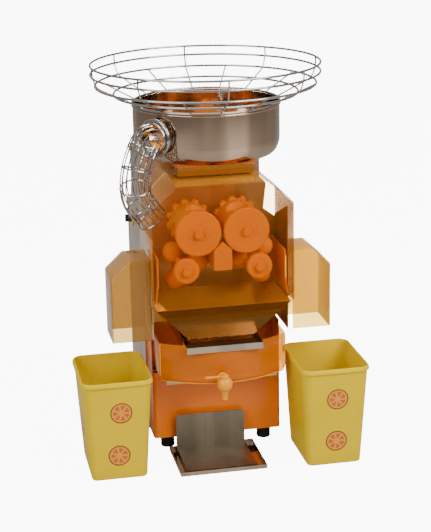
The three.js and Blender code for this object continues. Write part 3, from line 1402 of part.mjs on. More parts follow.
// The chutes are open below and towards the press. A tab with a slot hangs each one on its stud.
function makePeelChutes(group) {
  const inside = CHUTE_INSIDE;
  for (const [side, sign] of SIDES) {
    const outline = (inset, low, near) => [
      [sign * near, low],
      [sign * (PEEL_CHUTE_HALF_OUT - inset), low],
      [sign * (PEEL_CHUTE_HALF_OUT - inset), PEEL_CHUTE_SHOULDER - inset / 2],
      [sign * (PEEL_CHUTE_CREST - inset / 2), PEEL_CHUTE_TOP - inset],
      [sign * near, PEEL_CHUTE_TOP - inset],
    ];
    const outer = standingXZ(outline(0, PEEL_CHUTE_LOW, inside), -PEEL_CHUTE_FRONT, -PEEL_CHUTE_REAR);
    const inner = standingXZ(
      outline(PEEL_CHUTE_WALL, PEEL_CHUTE_LOW - OVERRUN, inside - OVERRUN),
      -PEEL_CHUTE_FRONT + PEEL_CHUTE_WALL,
      -PEEL_CHUTE_REAR - PEEL_CHUTE_WALL,
    );
    const tabFront = -PEEL_CHUTE_REAR - PEEL_CHUTE_WALL;
    const tabSpan = [sign * inside, sign * (inside + PEEL_CHUTE_WALL)];
    const tab = block(...tabSpan, tabFront, HOOK_REACH, HOOK_LOW, HOOK_LOW + HOOK_HEIGHT);
    const through = [sign * (inside - OVERRUN), sign * (inside + OVERRUN)];
    const slotRadius = STUD_RADIUS + SEAT_GAP;
    const slot = join(
      block(...through, STUD_Y - slotRadius, STUD_Y + slotRadius, HOOK_LOW - OVERRUN, STUD_Z),
      turnedX(rodProfile(slotRadius, ...through), STUD_Y, STUD_Z, SMALL_SIDES),
    );
    add(group, `peel_chute_${side}`, join(cut(outer, inner), cut(tab, slot)), "amber");
  }
}

// Juice funnel, tank, strainer and tap

function rectangleRing(x0, x1, y0, y1, z) {
  return [
    [x0, y0, z],
    [x1, y0, z],
    [x1, y1, z],
    [x0, y1, z],
  ];
}

function funnelBody(inset, low, top) {
  const mouthHalf = FUNNEL_MOUTH_HALF - inset;
  const wideHalf = FUNNEL_HALF - inset;
  const rear = -BACK_THICK - SEAT_GAP - inset;
  return loft([
    rectangleRing(
      STRAINER_X - mouthHalf,
      STRAINER_X + mouthHalf,
      -FUNNEL_MOUTH_FRONT + inset,
      -FUNNEL_MOUTH_REAR - inset,
      low,
    ),
    rectangleRing(-wideHalf, wideHalf, -FUNNEL_FRONT + inset, rear, top),
  ]);
}

function makeFunnel(group) {
  const outer = funnelBody(0, FUNNEL_LOW, FUNNEL_TOP);
  const inner = funnelBody(SHEET, FUNNEL_LOW, FUNNEL_TOP);
  const mouthHalf = FUNNEL_MOUTH_HALF - SHEET;
  const mouth = block(
    STRAINER_X - mouthHalf,
    STRAINER_X + mouthHalf,
    -FUNNEL_MOUTH_FRONT + SHEET,
    -FUNNEL_MOUTH_REAR - SHEET,
    FUNNEL_LOW - OVERRUN,
    FUNNEL_LOW + SHEET,
  );
  add(group, "juice_funnel", cut(outer, inner, mouth), "polished");
}

// The bowed front passes the belly's depth halfway between its corners.
function tankPlan(inset) {
  const half = TANK_HALF - inset;
  const corner = -TANK_CORNER_Y + inset / 2;
  const belly = -TANK_BELLY_Y + inset;
  const shape = new THREE.Shape();
  shape.moveTo(half, -TANK_REAR - inset);
  shape.lineTo(-half, -TANK_REAR - inset);
  shape.lineTo(-half, corner);
  shape.quadraticCurveTo(0, 2 * belly - corner, half, corner);
  return shape;
}

function tankFront(inset, top) {
  const half = TANK_HALF - inset;
  const low = TANK_LOW + inset;
  const radius = TANK_ROUND - inset;
  const shape = new THREE.Shape();
  shape.moveTo(half, top);
  shape.lineTo(-half, top);
  shape.lineTo(-half, low + radius);
  shape.absarc(-half + radius, low + radius, radius, Math.PI, 1.5 * Math.PI, false);
  shape.absarc(half - radius, low + radius, radius, 1.5 * Math.PI, 2 * Math.PI, false);
  return shape.getPoints(ARC_STEPS).map((p) => [p.x, p.y]);
}

function tankBody(inset, top) {
  const plan = lyingXY(tankPlan(inset), TANK_LOW - OVERRUN, top, TANK_BELLY_STEPS);
  return plan.intersect(standingXZ(tankFront(inset, top), -TANK_BELLY_Y - OVERRUN, OVERRUN));
}

function makeTank(group) {
  const shell = cut(tankBody(0, TANK_TOP), tankBody(TANK_WALL, TANK_TOP + OVERRUN));
  const holeRadius = TAP_BARREL_RADIUS + SEAT_GAP;
  const holeFront = -TANK_BELLY_Y - OVERRUN;
  const tapHole = rodY(holeRadius, TAP_X, TAP_Z, holeFront, -TANK_CORNER_Y, SMALL_SIDES);
  add(group, "juice_tank", cut(shell, tapHole), "amber");
}

function makeStrainer(group) {
  const left = STRAINER_X - STRAINER_HALF;
  const right = STRAINER_X + STRAINER_HALF;
  const flangeLow = TANK_TOP + SEAT_GAP;
  const flangeTop = flangeLow + SHEET;
  const panLow = TANK_TOP - STRAINER_DEPTH;
  const panFront = -TANK_CORNER_Y - TANK_WALL;
  const panRear = -TANK_REAR - TANK_WALL - SLIDE_GAP;
  const lipY = -TANK_BELLY_Y - SEAT_GAP;
  const pan = block(left, right, panFront, panRear, panLow, flangeTop);
  const hollow = block(
    left + SHEET,
    right - SHEET,
    panFront + SHEET,
    panRear - SHEET,
    panLow + SHEET,
    flangeTop + OVERRUN,
  );
  const frontFlange = block(left, right, lipY - SHEET, panFront + SHEET, flangeLow, flangeTop);
  const rearFlange = block(left, right, panRear - SHEET, -TANK_REAR, flangeLow, flangeTop);
  const lip = block(left, right, lipY - SHEET, lipY, flangeTop - STRAINER_LIP, flangeTop);
  const holes = [];
  const stepX = (right - left) / (STRAINER_HOLES + 1);
  const stepY = (panRear - panFront) / (STRAINER_ROWS + 1);
  for (let row = 1; row <= STRAINER_ROWS; row++) {
    for (let i = 1; i <= STRAINER_HOLES; i++) {
      const x = left + i * stepX;
      const y = panFront + row * stepY;
      const halfX = STRAINER_HOLE_WIDTH / 2;
      const halfY = (stepY * STRAINER_HOLE_SHARE) / 2;
      holes.push(block(x - halfX, x + halfX, y - halfY, y + halfY, panLow - OVERRUN, panLow + OVERRUN));
    }
  }
  add(group, "strainer_tray", cut(join(cut(pan, hollow), frontFlange, rearFlange, lip), holes), "polished");
}

function makeTap(group) {
  const wallFace = -TANK_BELLY_Y - SEAT_GAP;
  const tail = -TANK_BELLY_Y + TAP_BARREL_TAIL;
  const barrel = rodY(TAP_BARREL_RADIUS, TAP_X, TAP_Z, TAP_BOWL_Y, tail, SMALL_SIDES);
  const flange = rodY(TAP_FLANGE_RADIUS, TAP_X, TAP_Z, wallFace - TAP_FLANGE_THICK, wallFace, SMALL_SIDES);
  const bowlTop = TAP_Z + TAP_BARREL_RADIUS;
  const bowl = turnedZ(
    [
      [0, TAP_SPOUT_LOW],
      [TAP_SPOUT_RADIUS, TAP_SPOUT_LOW],
      [TAP_SPOUT_RADIUS, TAP_Z + TAP_SPOUT_TOP_SHARE * TAP_BOWL_RADIUS],
      ...TAP_BOWL_SHARES.map(([out, up]) => [out * TAP_BOWL_RADIUS, TAP_Z + up * TAP_BOWL_RADIUS]),
      [TAP_BARREL_RADIUS, bowlTop],
      [0, bowlTop],
    ],
    TAP_X,
    TAP_BOWL_Y,
    TAP_BOWL_SIDES,
  );
  add(group, "tap_body", join(barrel, flange, bowl), "tap");

  const leverLow = bowlTop + SEAT_GAP;
  const leverTop = leverLow + LEVER_THICK;
  const stemTop = leverTop + TAP_STEM_RADIUS;
  const hub = rodZ(TAP_BARREL_RADIUS, TAP_X, TAP_BOWL_Y, leverLow, leverTop, SMALL_SIDES);
  const stem = rodZ(TAP_STEM_RADIUS, TAP_X, TAP_BOWL_Y, leverTop - SHEET, stemTop, SMALL_SIDES);
  const tipX = TAP_X - LEVER_LENGTH;
  const gripLow = leverLow + SHEET / 2;
  const gripTop = leverTop - SHEET / 2;
  const grip = block(tipX, TAP_X, TAP_BOWL_Y - LEVER_HALF, TAP_BOWL_Y + LEVER_HALF, gripLow, gripTop);
  const tip = rodZ(LEVER_HALF, tipX, TAP_BOWL_Y, gripLow, gripTop, SMALL_SIDES);
  add(group, "tap_lever", join(hub, stem, grip, tip), "tap");
}

// Drip tray, switch and bins

function makeDripTray(group) {
  const outer = block(TRAY_LEFT, TRAY_RIGHT, TRAY_FRONT, TRAY_REAR, 0, TRAY_HEIGHT);
  const inner = block(
    TRAY_LEFT + TRAY_WALL,
    TRAY_RIGHT - TRAY_WALL,
    TRAY_FRONT + TRAY_WALL,
    TRAY_REAR - TRAY_WALL,
    TRAY_WALL,
    TRAY_HEIGHT + OVERRUN,
  );
  add(group, "drip_tray", cut(outer, inner), "polished");

  const floor = TRAY_WALL + SEAT_GAP;
  const shape = new THREE.Shape();
  shape.moveTo(SPLASH_LEFT, floor);
  shape.lineTo(SPLASH_RIGHT, floor);
  shape.lineTo(SPLASH_RIGHT, SPLASH_TOP - SPLASH_CORNER);
  const cornerZ = SPLASH_TOP - SPLASH_CORNER;
  shape.absarc(SPLASH_RIGHT - SPLASH_CORNER, cornerZ, SPLASH_CORNER, 0, QUARTER_TURN, false);
  shape.absarc(SPLASH_LEFT + SPLASH_CORNER, cornerZ, SPLASH_CORNER, QUARTER_TURN, Math.PI, false);
  const outline = shape.getPoints(ARC_STEPS).map((p) => [p.x, p.y]);
  const upright = standingXZ(outline, SPLASH_Y, SPLASH_Y + TRAY_WALL);
  const deckLow = TRAY_HEIGHT - TRAY_WALL;
  const deck = block(SPLASH_LEFT, SPLASH_RIGHT, SPLASH_FRONT, SPLASH_Y + TRAY_WALL, deckLow, TRAY_HEIGHT);
  const legs = [SPLASH_LEFT, SPLASH_RIGHT - TRAY_WALL].map((x) =>
    block(x, x + TRAY_WALL, SPLASH_FRONT, SPLASH_Y + TRAY_WALL, floor, TRAY_HEIGHT),
  );
  add(group, "splash_plate", join(upright, deck, legs), "brushed");
}

function makeSwitch(group) {
  const face = -COLUMN_HALF - SEAT_GAP;
  const plateFace = face - SWITCH_THICK;
  const plate = turnedX(rodProfile(SWITCH_RADIUS, plateFace, face), SWITCH_Y, SWITCH_Z);
  add(group, "switch_plate", plate, "yellow");
  const knobRear = plateFace - SEAT_GAP;
  const knobFace = knobRear - SWITCH_KNOB_LENGTH;
  const disc = turnedX(rodProfile(SWITCH_KNOB_RADIUS, knobFace, knobRear), SWITCH_Y, SWITCH_Z, SMALL_SIDES);
  const grip = block(
    knobFace - SWITCH_GRIP_LENGTH,
    knobFace + SHEET,
    SWITCH_Y - SWITCH_GRIP_HALF,
    SWITCH_Y + SWITCH_GRIP_HALF,
    SWITCH_Z - SWITCH_KNOB_RADIUS,
    SWITCH_Z + SWITCH_KNOB_RADIUS,
  );
  add(group, "switch_knob", join(disc, grip), "black");
}

function binSolid(x, y) {
  const steps = BIN_CORNER_STEPS;
  const neckZ = BIN_HEIGHT - BIN_RIM_HEIGHT;
  const neckShare = neckZ / BIN_HEIGHT;
  const topWidth = BIN_RIM_WIDTH - 2 * BIN_RIM_PROUD;
  const topDepth = BIN_RIM_DEPTH - 2 * BIN_RIM_PROUD;
  const neckWidth = THREE.MathUtils.lerp(BIN_FOOT_WIDTH, topWidth, neckShare);
  const neckDepth = THREE.MathUtils.lerp(BIN_FOOT_DEPTH, topDepth, neckShare);
  const ring = (width, depth, radius, z) => roundedRing(width, depth, radius, x, y, z, steps);
  const rimRadius = BIN_CORNER + BIN_RIM_PROUD;
  return loft([
    ring(BIN_FOOT_WIDTH, BIN_FOOT_DEPTH, BIN_CORNER / 2, 0),
    ring(neckWidth, neckDepth, BIN_CORNER, neckZ),
    ring(BIN_RIM_WIDTH, BIN_RIM_DEPTH, rimRadius, neckZ),
    ring(BIN_RIM_WIDTH, BIN_RIM_DEPTH, rimRadius, BIN_HEIGHT - BIN_WALL),
    ring(topWidth + BIN_WALL, topDepth + BIN_WALL, BIN_CORNER, BIN_HEIGHT),
    ring(topWidth - 2 * BIN_WALL, topDepth - 2 * BIN_WALL, BIN_CORNER - BIN_WALL, BIN_HEIGHT - BIN_WALL),
    ring(BIN_FOOT_WIDTH - 2 * BIN_WALL, BIN_FOOT_DEPTH - 2 * BIN_WALL, BIN_CORNER / 2 - BIN_WALL, BIN_WALL),
  ]);
}

function makeBins(group) {
  add(group, "bin_left", binSolid(BIN_LEFT_X, BIN_LEFT_Y), "yellow");
  add(group, "bin_right", binSolid(BIN_RIGHT_X, BIN_RIGHT_Y), "yellow");
}

const subAssemblies = [
  [makeFeet, makeBase, makeHousing, makeServicePanel, makePowerInlet],
  [makeFrontPanel, makeTankShelf, makeSwitch],
  [makeChamber, makePress, makeKnife, makePeelGuides, makeFunnel],
  [makeGears, makeGearCasing, makeMainMotor],
  [makeBracket, makeFeedDrum, makeFeedDrive, makeFeeder, makeBasket, makeWireChute],
  [makeCover, makePeelChutes],
  [makeTank, makeStrainer, makeTap],
  [makeDripTray],
  [makeBins],
];
for (const makers of subAssemblies) {
  const group = subAssembly();
  for (const make of makers) make(group);
}

export default root;
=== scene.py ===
"""Finished looks of a counter orange juicer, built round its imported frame.

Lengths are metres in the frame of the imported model: +Z up, the front faces -Y, the origin on the counter.
Each sub-assembly is a class. Its fields are the sizes that the frame doesn't give, and the rest is read
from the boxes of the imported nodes.
"""

from __future__ import annotations

import logging
import math
from dataclasses import dataclass
from enum import Enum
from typing import Any, Iterable, Sequence

import bmesh
import bpy
from mathutils import Matrix, Vector

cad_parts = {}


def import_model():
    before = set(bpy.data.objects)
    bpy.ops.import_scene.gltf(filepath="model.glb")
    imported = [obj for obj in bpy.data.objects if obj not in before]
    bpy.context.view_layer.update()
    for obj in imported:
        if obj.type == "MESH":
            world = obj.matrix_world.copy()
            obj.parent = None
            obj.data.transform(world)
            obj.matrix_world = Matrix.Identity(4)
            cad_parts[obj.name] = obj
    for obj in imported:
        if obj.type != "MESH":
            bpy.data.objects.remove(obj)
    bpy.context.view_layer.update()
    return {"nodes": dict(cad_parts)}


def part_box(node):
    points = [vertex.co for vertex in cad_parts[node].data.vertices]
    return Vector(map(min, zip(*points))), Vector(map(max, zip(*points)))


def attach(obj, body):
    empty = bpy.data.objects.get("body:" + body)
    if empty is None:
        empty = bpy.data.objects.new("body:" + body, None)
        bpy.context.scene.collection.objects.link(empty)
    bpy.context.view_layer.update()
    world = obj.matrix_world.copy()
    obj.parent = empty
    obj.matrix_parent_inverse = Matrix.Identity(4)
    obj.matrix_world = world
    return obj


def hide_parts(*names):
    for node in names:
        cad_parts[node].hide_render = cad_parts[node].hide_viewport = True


log = logging.getLogger("juicer")

Point2 = tuple[float, float]
Point3 = tuple[float, float, float]
Colour = tuple[float, float, float]

SIDES: tuple[tuple[str, int], ...] = (("left", -1), ("right", 1))
SMOOTH_ANGLE = math.radians(35)
EDGE_ANGLE = math.radians(40)
JOINED_EDGE_ANGLE = math.radians(50)
POLE_RADIUS = 1e-7
WELD_DISTANCE = 0.00001
FINE_EDGE = 0.0004
SHEET_EDGE = 0.0006
ROUND_EDGE = 0.0012
CAST_EDGE = 0.0015
FRONTWARD = (0.0, -1.0, 0.0)
LEFTWARD = (-1.0, 0.0, 0.0)
BACKWARD = (0.0, 1.0, 0.0)
BLACK: Colour = (0.0, 0.0, 0.0)
WHITE: Colour = (1.0, 1.0, 1.0)


class Along(Enum):
    """The world axis that an extruded form follows."""

    X = "x"
    Y = "y"
    Z = "z"


class Cut(Enum):
    """How two solids are combined."""

    AWAY = "DIFFERENCE"
    JOIN = "UNION"


@dataclass(frozen=True)
class Extent:
    """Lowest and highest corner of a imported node."""

    low: Vector
    high: Vector

    @classmethod
    def of(cls, node: str) -> "Extent":
        """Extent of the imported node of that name."""
        low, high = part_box(node)
        return cls(Vector(low), Vector(high))

    @property
    def middle(self) -> Vector:
        """Middle of the box."""
        return (self.low + self.high) / 2

    @property
    def size(self) -> Vector:
        """Size of the box along X, Y and Z."""
        return self.high - self.low


# Outlines


def circle(radius: float, steps: int) -> list[Point2]:
    """Points of a full circle.

    Args:
        radius: its radius.
        steps: number of points.

    Returns:
        The points, anticlockwise from +X.
    """
    turns = [2 * math.pi * i / steps for i in range(steps)]
    return [(radius * math.cos(t), radius * math.sin(t)) for t in turns]


def arc(centre: Point2, radius: float, first: float, last: float, steps: int) -> list[Point2]:
    """Points of an arc.

    Args:
        centre: its centre.
        radius: its radius.
        first: angle of its first point.
        last: angle of its last point.
        steps: how many stretches it has.

    Returns:
        steps + 1 points.
    """
    turns = [first + (last - first) * k / steps for k in range(steps + 1)]
    return [(centre[0] + radius * math.cos(t), centre[1] + radius * math.sin(t)) for t in turns]


def edge_arc(radius: float, level: float, edge: float) -> list[Point2]:
    """Profile of the rounded front edge of a disc, from its face at a level to its side."""
    return arc((radius - edge, level + edge), edge, -math.pi / 2, 0.0, 5)


def rod(radius: float, low: float, high: float) -> list[Point2]:
    """Profile of a plain round bar between two levels of its axis."""
    return [(0.0, low), (radius, low), (radius, high), (0.0, high)]


def rounding(radius: float, steps: int) -> list[Point2]:
    """Inset and rise of each level of a rounded lower edge, from the underside up."""
    turns = [math.pi / 2 * k / steps for k in range(steps + 1)]
    return [(radius * (1 - math.sin(t)), radius * (1 - math.cos(t))) for t in turns]


def rounded(corners: Sequence[Point2], radius: float | Sequence[float], steps: int = 6) -> list[Point2]:
    """Closed outline whose corners are arcs.

    Args:
        corners: the sharp corners, in order.
        radius: one radius, or one for each corner.
        steps: pieces that each arc is made of.

    Returns:
        The points of the outline.
    """
    radii = [radius] * len(corners) if isinstance(radius, (int, float)) else list(radius)
    points: list[Point2] = []
    for i, corner in enumerate(corners):
        here = Vector(corner)
        before = Vector(corners[i - 1]) - here
        after = Vector(corners[(i + 1) % len(corners)]) - here
        reach = radii[i]
        half = before.angle(after) / 2
        if reach <= 0 or half > math.radians(89):
            points.append((here.x, here.y))
            continue
        run = min(reach / math.tan(half), 0.49 * before.length, 0.49 * after.length)
        reach = run * math.tan(half)
        start = here + before.normalized() * run
        end = here + after.normalized() * run
        centre = here + (before.normalized() + after.normalized()).normalized() * (reach / math.sin(half))
        first = math.atan2(start.y - centre.y, start.x - centre.x)
        sweep = math.atan2(end.y - centre.y, end.x - centre.x) - first
        sweep = (sweep + math.pi) % (2 * math.pi) - math.pi
        for k in range(steps + 1):
            turn = first + sweep * k / steps
            points.append((centre.x + reach * math.cos(turn), centre.y + reach * math.sin(turn)))
    return points


def drawn_in(outline: Sequence[Point2], distance: float) -> list[Point2]:
    """Outline moved inwards by a distance.

    Args:
        outline: a closed outline in either direction.
        distance: how far each side moves in.

    Returns:
        As many points as the outline has.
    """
    count = len(outline)
    area = sum(
        outline[i][0] * outline[(i + 1) % count][1] - outline[(i + 1) % count][0] * outline[i][1]
        for i in range(count)
    )
    facing = 1 if area > 0 else -1

    def inward(i: int) -> Vector:
        """Unit vector into the outline from side i."""
        side = Vector(outline[(i + 1) % count]) - Vector(outline[i % count])
        return Vector((-side.y, side.x)).normalized() * facing

    moved = []
    for i, point in enumerate(outline):
        one, two = inward(i - 1), inward(i)
        shift = (one + two) / max(1 + one.dot(two), 0.2)
        moved.append((point[0] + shift.x * distance, point[1] + shift.y * distance))
    return moved


def smooth_path(points: Sequence[Vector], steps: int) -> list[Vector]:
    """Even points on one smooth curve through the given points.

    Args:
        points: what the curve passes through.
        steps: how many stretches the result has.

    Returns:
        steps + 1 points at equal distances along the curve.
    """
    ends = [2 * points[0] - points[1], *points, 2 * points[-1] - points[-2]]
    fine: list[Vector] = []
    for a, b, c, d in zip(ends, ends[1:], ends[2:], ends[3:]):
        knots = [0.0]
        for one, two in ((a, b), (b, c), (c, d)):
            knots.append(knots[-1] + math.sqrt((two - one).length))
        for k in range(24):
            t = knots[1] + (knots[2] - knots[1]) * k / 24
            ab = a.lerp(b, (t - knots[0]) / (knots[1] - knots[0]))
            bc = b.lerp(c, (t - knots[1]) / (knots[2] - knots[1]))
            cd = c.lerp(d, (t - knots[2]) / (knots[3] - knots[2]))
            low = ab.lerp(bc, (t - knots[0]) / (knots[2] - knots[0]))
            high = bc.lerp(cd, (t - knots[1]) / (knots[3] - knots[1]))
            fine.append(low.lerp(high, (t - knots[1]) / (knots[2] - knots[1])))
    fine.append(points[-1].copy())
    return evenly(fine, steps)


def evenly(points: Sequence[Vector], steps: int) -> list[Vector]:
    """Points at equal distances along a line.

    Args:
        points: the corners of the line.
        steps: how many stretches the result has.

    Returns:
        steps + 1 points.
    """
    lengths = [0.0]
    for one, two in zip(points, points[1:]):
        lengths.append(lengths[-1] + (two - one).length)
    result = []
    spot = 0
    for k in range(steps + 1):
        wanted = lengths[-1] * k / steps
        while spot < len(points) - 2 and lengths[spot + 1] < wanted:
            spot += 1
        share = (wanted - lengths[spot]) / max(lengths[spot + 1] - lengths[spot], 1e-9)
        result.append(points[spot].lerp(points[spot + 1], min(max(share, 0.0), 1.0)))
    return result


def bent(points: Sequence[Vector], radius: float, steps: int = 5) -> list[Vector]:
    """Line whose inner corners are rounded, as a bent wire is.

    Args:
        points: the sharp line.
        radius: how far before and after a corner the bend reaches.
        steps: pieces of each bend.

    Returns:
        The points of the bent line.
    """
    result = [points[0].copy()]
    for before, here, after in zip(points, points[1:], points[2:]):
        start = here + (before - here).normalized() * min(radius, 0.45 * (before - here).length)
        end = here + (after - here).normalized() * min(radius, 0.45 * (after - here).length)
        for k in range(steps + 1):
            share = k / steps
            result.append(start.lerp(here, share).lerp(here.lerp(end, share), share))
    result.append(points[-1].copy())
    return result


# Solids


class Sketch:
    """A mesh in the making, which becomes one piece."""

    def __init__(self) -> None:
        """Start with an empty mesh."""
        self.mesh = bmesh.new()

    def skin(
        self, rings: Sequence[Sequence[Vector]], loop: bool = False, caps: bool = True, slot: int = 0
    ) -> "Sketch":
        """Cover rings of points with faces.

        Args:
            rings: rings with equal counts of points, or with a single point for a pole.
            loop: whether the last ring meets the first.
            caps: whether open ends are closed with a face.
            slot: material slot of the faces.

        Returns:
            This sketch.
        """
        made = [[self.mesh.verts.new(point) for point in ring] for ring in rings]
        pairs = list(zip(made, made[1:]))
        if loop:
            pairs.append((made[-1], made[0]))
        faces = []
        for low, high in pairs:
            count = max(len(low), len(high))
            for i in range(count):
                j = (i + 1) % count
                corners = [low[i % len(low)], low[j % len(low)], high[j % len(high)], high[i % len(high)]]
                corners = list(dict.fromkeys(corners))
                if len(corners) > 2:
                    faces.append(self.mesh.faces.new(corners))
        if caps and not loop:
            for ring in (made[0], made[-1]):
                if len(ring) > 2:
                    faces.append(self.mesh.faces.new(ring))
        for face in faces:
            face.material_index = slot
        return self

    def turned(
        self, profile: Sequence[Point2], place: Matrix, steps: int = 96, closed: bool = False, slot: int = 0
    ) -> "Sketch":
        """Revolve a profile of radius and height.

        Args:
            profile: points of radius and height. A radius of zero is a pole.
            place: where the axis +Z of the profile goes.
            steps: sides of the round form.
            closed: whether the profile closes on itself, as a ring's does.
            slot: material slot of the faces.

        Returns:
            This sketch.
        """
        rings = []
        for radius, height in profile:
            if radius < POLE_RADIUS:
                rings.append([place @ Vector((0, 0, height))])
                continue
            rings.append([place @ Vector((x, y, height)) for x, y in circle(radius, steps)])
        return self.skin(rings, loop=closed, caps=not closed, slot=slot)

    def wire(
        self, path: Sequence[Vector], radius: float, sides: int = 10, closed: bool = False
    ) -> "Sketch":
        """Sweep a round wire along a path.

        Args:
            path: points of its middle line.
            radius: of the wire.
            sides: of its section.
            closed: whether the last point joins the first.

        Returns:
            This sketch.
        """
        count = len(path)
        tangents = []
        for i in range(count):
            before = path[i - 1] if (closed or i > 0) else path[0]
            after = path[(i + 1) % count] if (closed or i < count - 1) else path[-1]
            tangents.append((after - before).normalized())
        across = tangents[0].orthogonal().normalized()
        rings = []
        for point, tangent in zip(path, tangents):
            across = (across - tangent * across.dot(tangent)).normalized()
            other = tangent.cross(across)
            rings.append([point + across * x + other * y for x, y in circle(radius, sides)])
        return self.skin(rings, loop=closed)

    def prism(
        self, outline: Sequence[Point2], low: float, high: float, along: Along, edge: float = 0.0
    ) -> "Sketch":
        """Extrude an outline, with rounded edges at both ends if wanted.

        Args:
            outline: a closed outline. Its plane is XY along Z, XZ along Y and YZ along X.
            low: where it starts on the axis.
            high: where it ends on the axis.
            along: the axis.
            edge: radius of the edges at both ends.

        Returns:
            This sketch.
        """
        bands = rounding(edge, 4) if edge > 0 else [(0.0, 0.0)]
        levels = [(inset, low + rise) for inset, rise in bands]
        levels += [(inset, high - rise) for inset, rise in reversed(bands)]
        rings = []
        for inset, level in levels:
            ring = drawn_in(outline, inset) if inset > 0 else outline
            rings.append([in_space(point, level, along) for point in ring])
        return self.skin(rings)

    def block(self, low: Sequence[float], high: Sequence[float]) -> "Sketch":
        """Add a box between two corners."""
        corners = [(low[0], low[1]), (high[0], low[1]), (high[0], high[1]), (low[0], high[1])]
        return self.prism(corners, low[2], high[2], Along.Z)

    def piece(self, name: str) -> bpy.types.Object:
        """Turn the sketch into an object with outward normals.

        Args:
            name: of the object.

        Returns:
            The object, linked to the scene.
        """
        bmesh.ops.recalc_face_normals(self.mesh, faces=self.mesh.faces)
        data = bpy.data.meshes.new(name)
        self.mesh.to_mesh(data)
        self.mesh.free()
        made = bpy.data.objects.new(name, data)
        bpy.context.scene.collection.objects.link(made)
        return made


def in_space(point: Point2, level: float, along: Along) -> Vector:
    """Point of an outline put on a level of an axis.

    Args:
        point: a point of an outline.
        level: its place along the axis.
        along: the axis.

    Returns:
        The point in space.
    """
    a, b = point
    if along is Along.Z:
        return Vector((a, b, level))
    if along is Along.Y:
        return Vector((a, level, b))
    return Vector((level, a, b))


def facing_place(origin: Sequence[float], direction: Sequence[float]) -> Matrix:
    """Matrix of a turned form whose axis runs from a point in a direction."""
    turn = Vector(direction).to_track_quat("Z", "Y")
    return Matrix.Translation(origin) @ turn.to_matrix().to_4x4()


def turned_on_y(name: str, profile: Sequence[Point2], axis: Point2, steps: int = 96) -> bpy.types.Object:
    """Turned solid about an axis along Y.

    Args:
        name: of the object.
        profile: points of radius and Y.
        axis: X and Z of the axis.
        steps: sides of the round form.

    Returns:
        The solid.
    """
    flipped = [(radius, -y) for radius, y in profile]
    place = facing_place((axis[0], 0.0, axis[1]), FRONTWARD)
    return Sketch().turned(flipped, place, steps).piece(name)


def settle(piece: bpy.types.Object) -> bpy.types.Object:
    """Apply a piece's modifiers to its mesh.

    Args:
        piece: an object with modifiers.

    Returns:
        The same object, without modifiers.
    """
    bpy.context.view_layer.update()
    evaluated = piece.evaluated_get(bpy.context.evaluated_depsgraph_get())
    data = bpy.data.meshes.new_from_object(evaluated)
    data.validate()
    piece.modifiers.clear()
    old = piece.data
    piece.data = data
    bpy.data.meshes.remove(old)
    return piece


def combine(base: bpy.types.Object, how: Cut, *tools: bpy.types.Object) -> None:
    """Cut or join solids, and delete the tools.

    Args:
        base: the object that is cut or grows.
        how: what happens to it.
        tools: the other solids.
    """
    for tool in tools:
        modifier = base.modifiers.new("combine", "BOOLEAN")
        modifier.operation = how.value
        modifier.solver = "EXACT"
        modifier.object = tool
    settle(base)
    for tool in tools:
        data = tool.data
        bpy.data.objects.remove(tool)
        bpy.data.meshes.remove(data)


def add_bevel(piece: bpy.types.Object, width: float, segments: int = 2, angle: float = EDGE_ANGLE) -> None:
    """Add a bevel on the edges of an object.

    Args:
        piece: the object.
        width: of the rounding.
        segments: of the rounding.
        angle: least angle between faces that is rounded.
    """
    modifier = piece.modifiers.new("edges", "BEVEL")
    modifier.width = width
    modifier.segments = segments
    modifier.limit_method = "ANGLE"
    modifier.angle_limit = angle


def soften(
    piece: bpy.types.Object, width: float, segments: int = 2, angle: float = EDGE_ANGLE
) -> bpy.types.Object:
    """Round the edges of a new piece.

    Args:
        piece: the object.
        width: of the rounding.
        segments: of the rounding.
        angle: least angle between faces that is rounded.

    Returns:
        The same object.
    """
    add_bevel(piece, width, segments, angle)
    return settle(piece)


# Shader sums


class Signal:
    """An output socket that takes part in sums."""

    def __init__(self, graph: "Graph", socket: bpy.types.NodeSocket) -> None:
        """Wrap a socket of a graph."""
        self.graph = graph
        self.socket = socket

    def maths(self, operation: str, *values: Any, clamp: bool = False) -> "Signal":
        """Add a Math node.

        Args:
            operation: name of the Math node's operation.
            values: its inputs, in order.
            clamp: whether the result is held between 0 and 1.

        Returns:
            Its output.
        """
        settings = {"operation": operation, "use_clamp": clamp}
        return self.graph.node("ShaderNodeMath", settings, dict(enumerate(values)))[0]

    def __add__(self, other: "Signal | float") -> "Signal":
        """Sum."""
        return self.maths("ADD", self, other)

    def __radd__(self, other: float) -> "Signal":
        """Sum with a number first."""
        return self.maths("ADD", other, self)

    def __sub__(self, other: "Signal | float") -> "Signal":
        """Difference."""
        return self.maths("SUBTRACT", self, other)

    def __rsub__(self, other: float) -> "Signal":
        """Difference with a number first."""
        return self.maths("SUBTRACT", other, self)

    def __mul__(self, other: "Signal | float") -> "Signal":
        """Product."""
        return self.maths("MULTIPLY", self, other)

    def __rmul__(self, other: float) -> "Signal":
        """Product with a number first."""
        return self.maths("MULTIPLY", other, self)

    def held(self) -> "Signal":
        """This value held between 0 and 1."""
        return self.maths("ADD", self, 0.0, clamp=True)

    def between(self, low: float, high: float) -> "Signal":
        """Smooth step from 0 at low to 1 at high.

        Args:
            low: value that gives 0.
            high: value that gives 1.

        Returns:
            The step.
        """
        settings = {"interpolation_type": "SMOOTHSTEP"}
        inputs = {"Value": self, "From Min": low, "From Max": high}
        return self.graph.node("ShaderNodeMapRange", settings, inputs)[0]


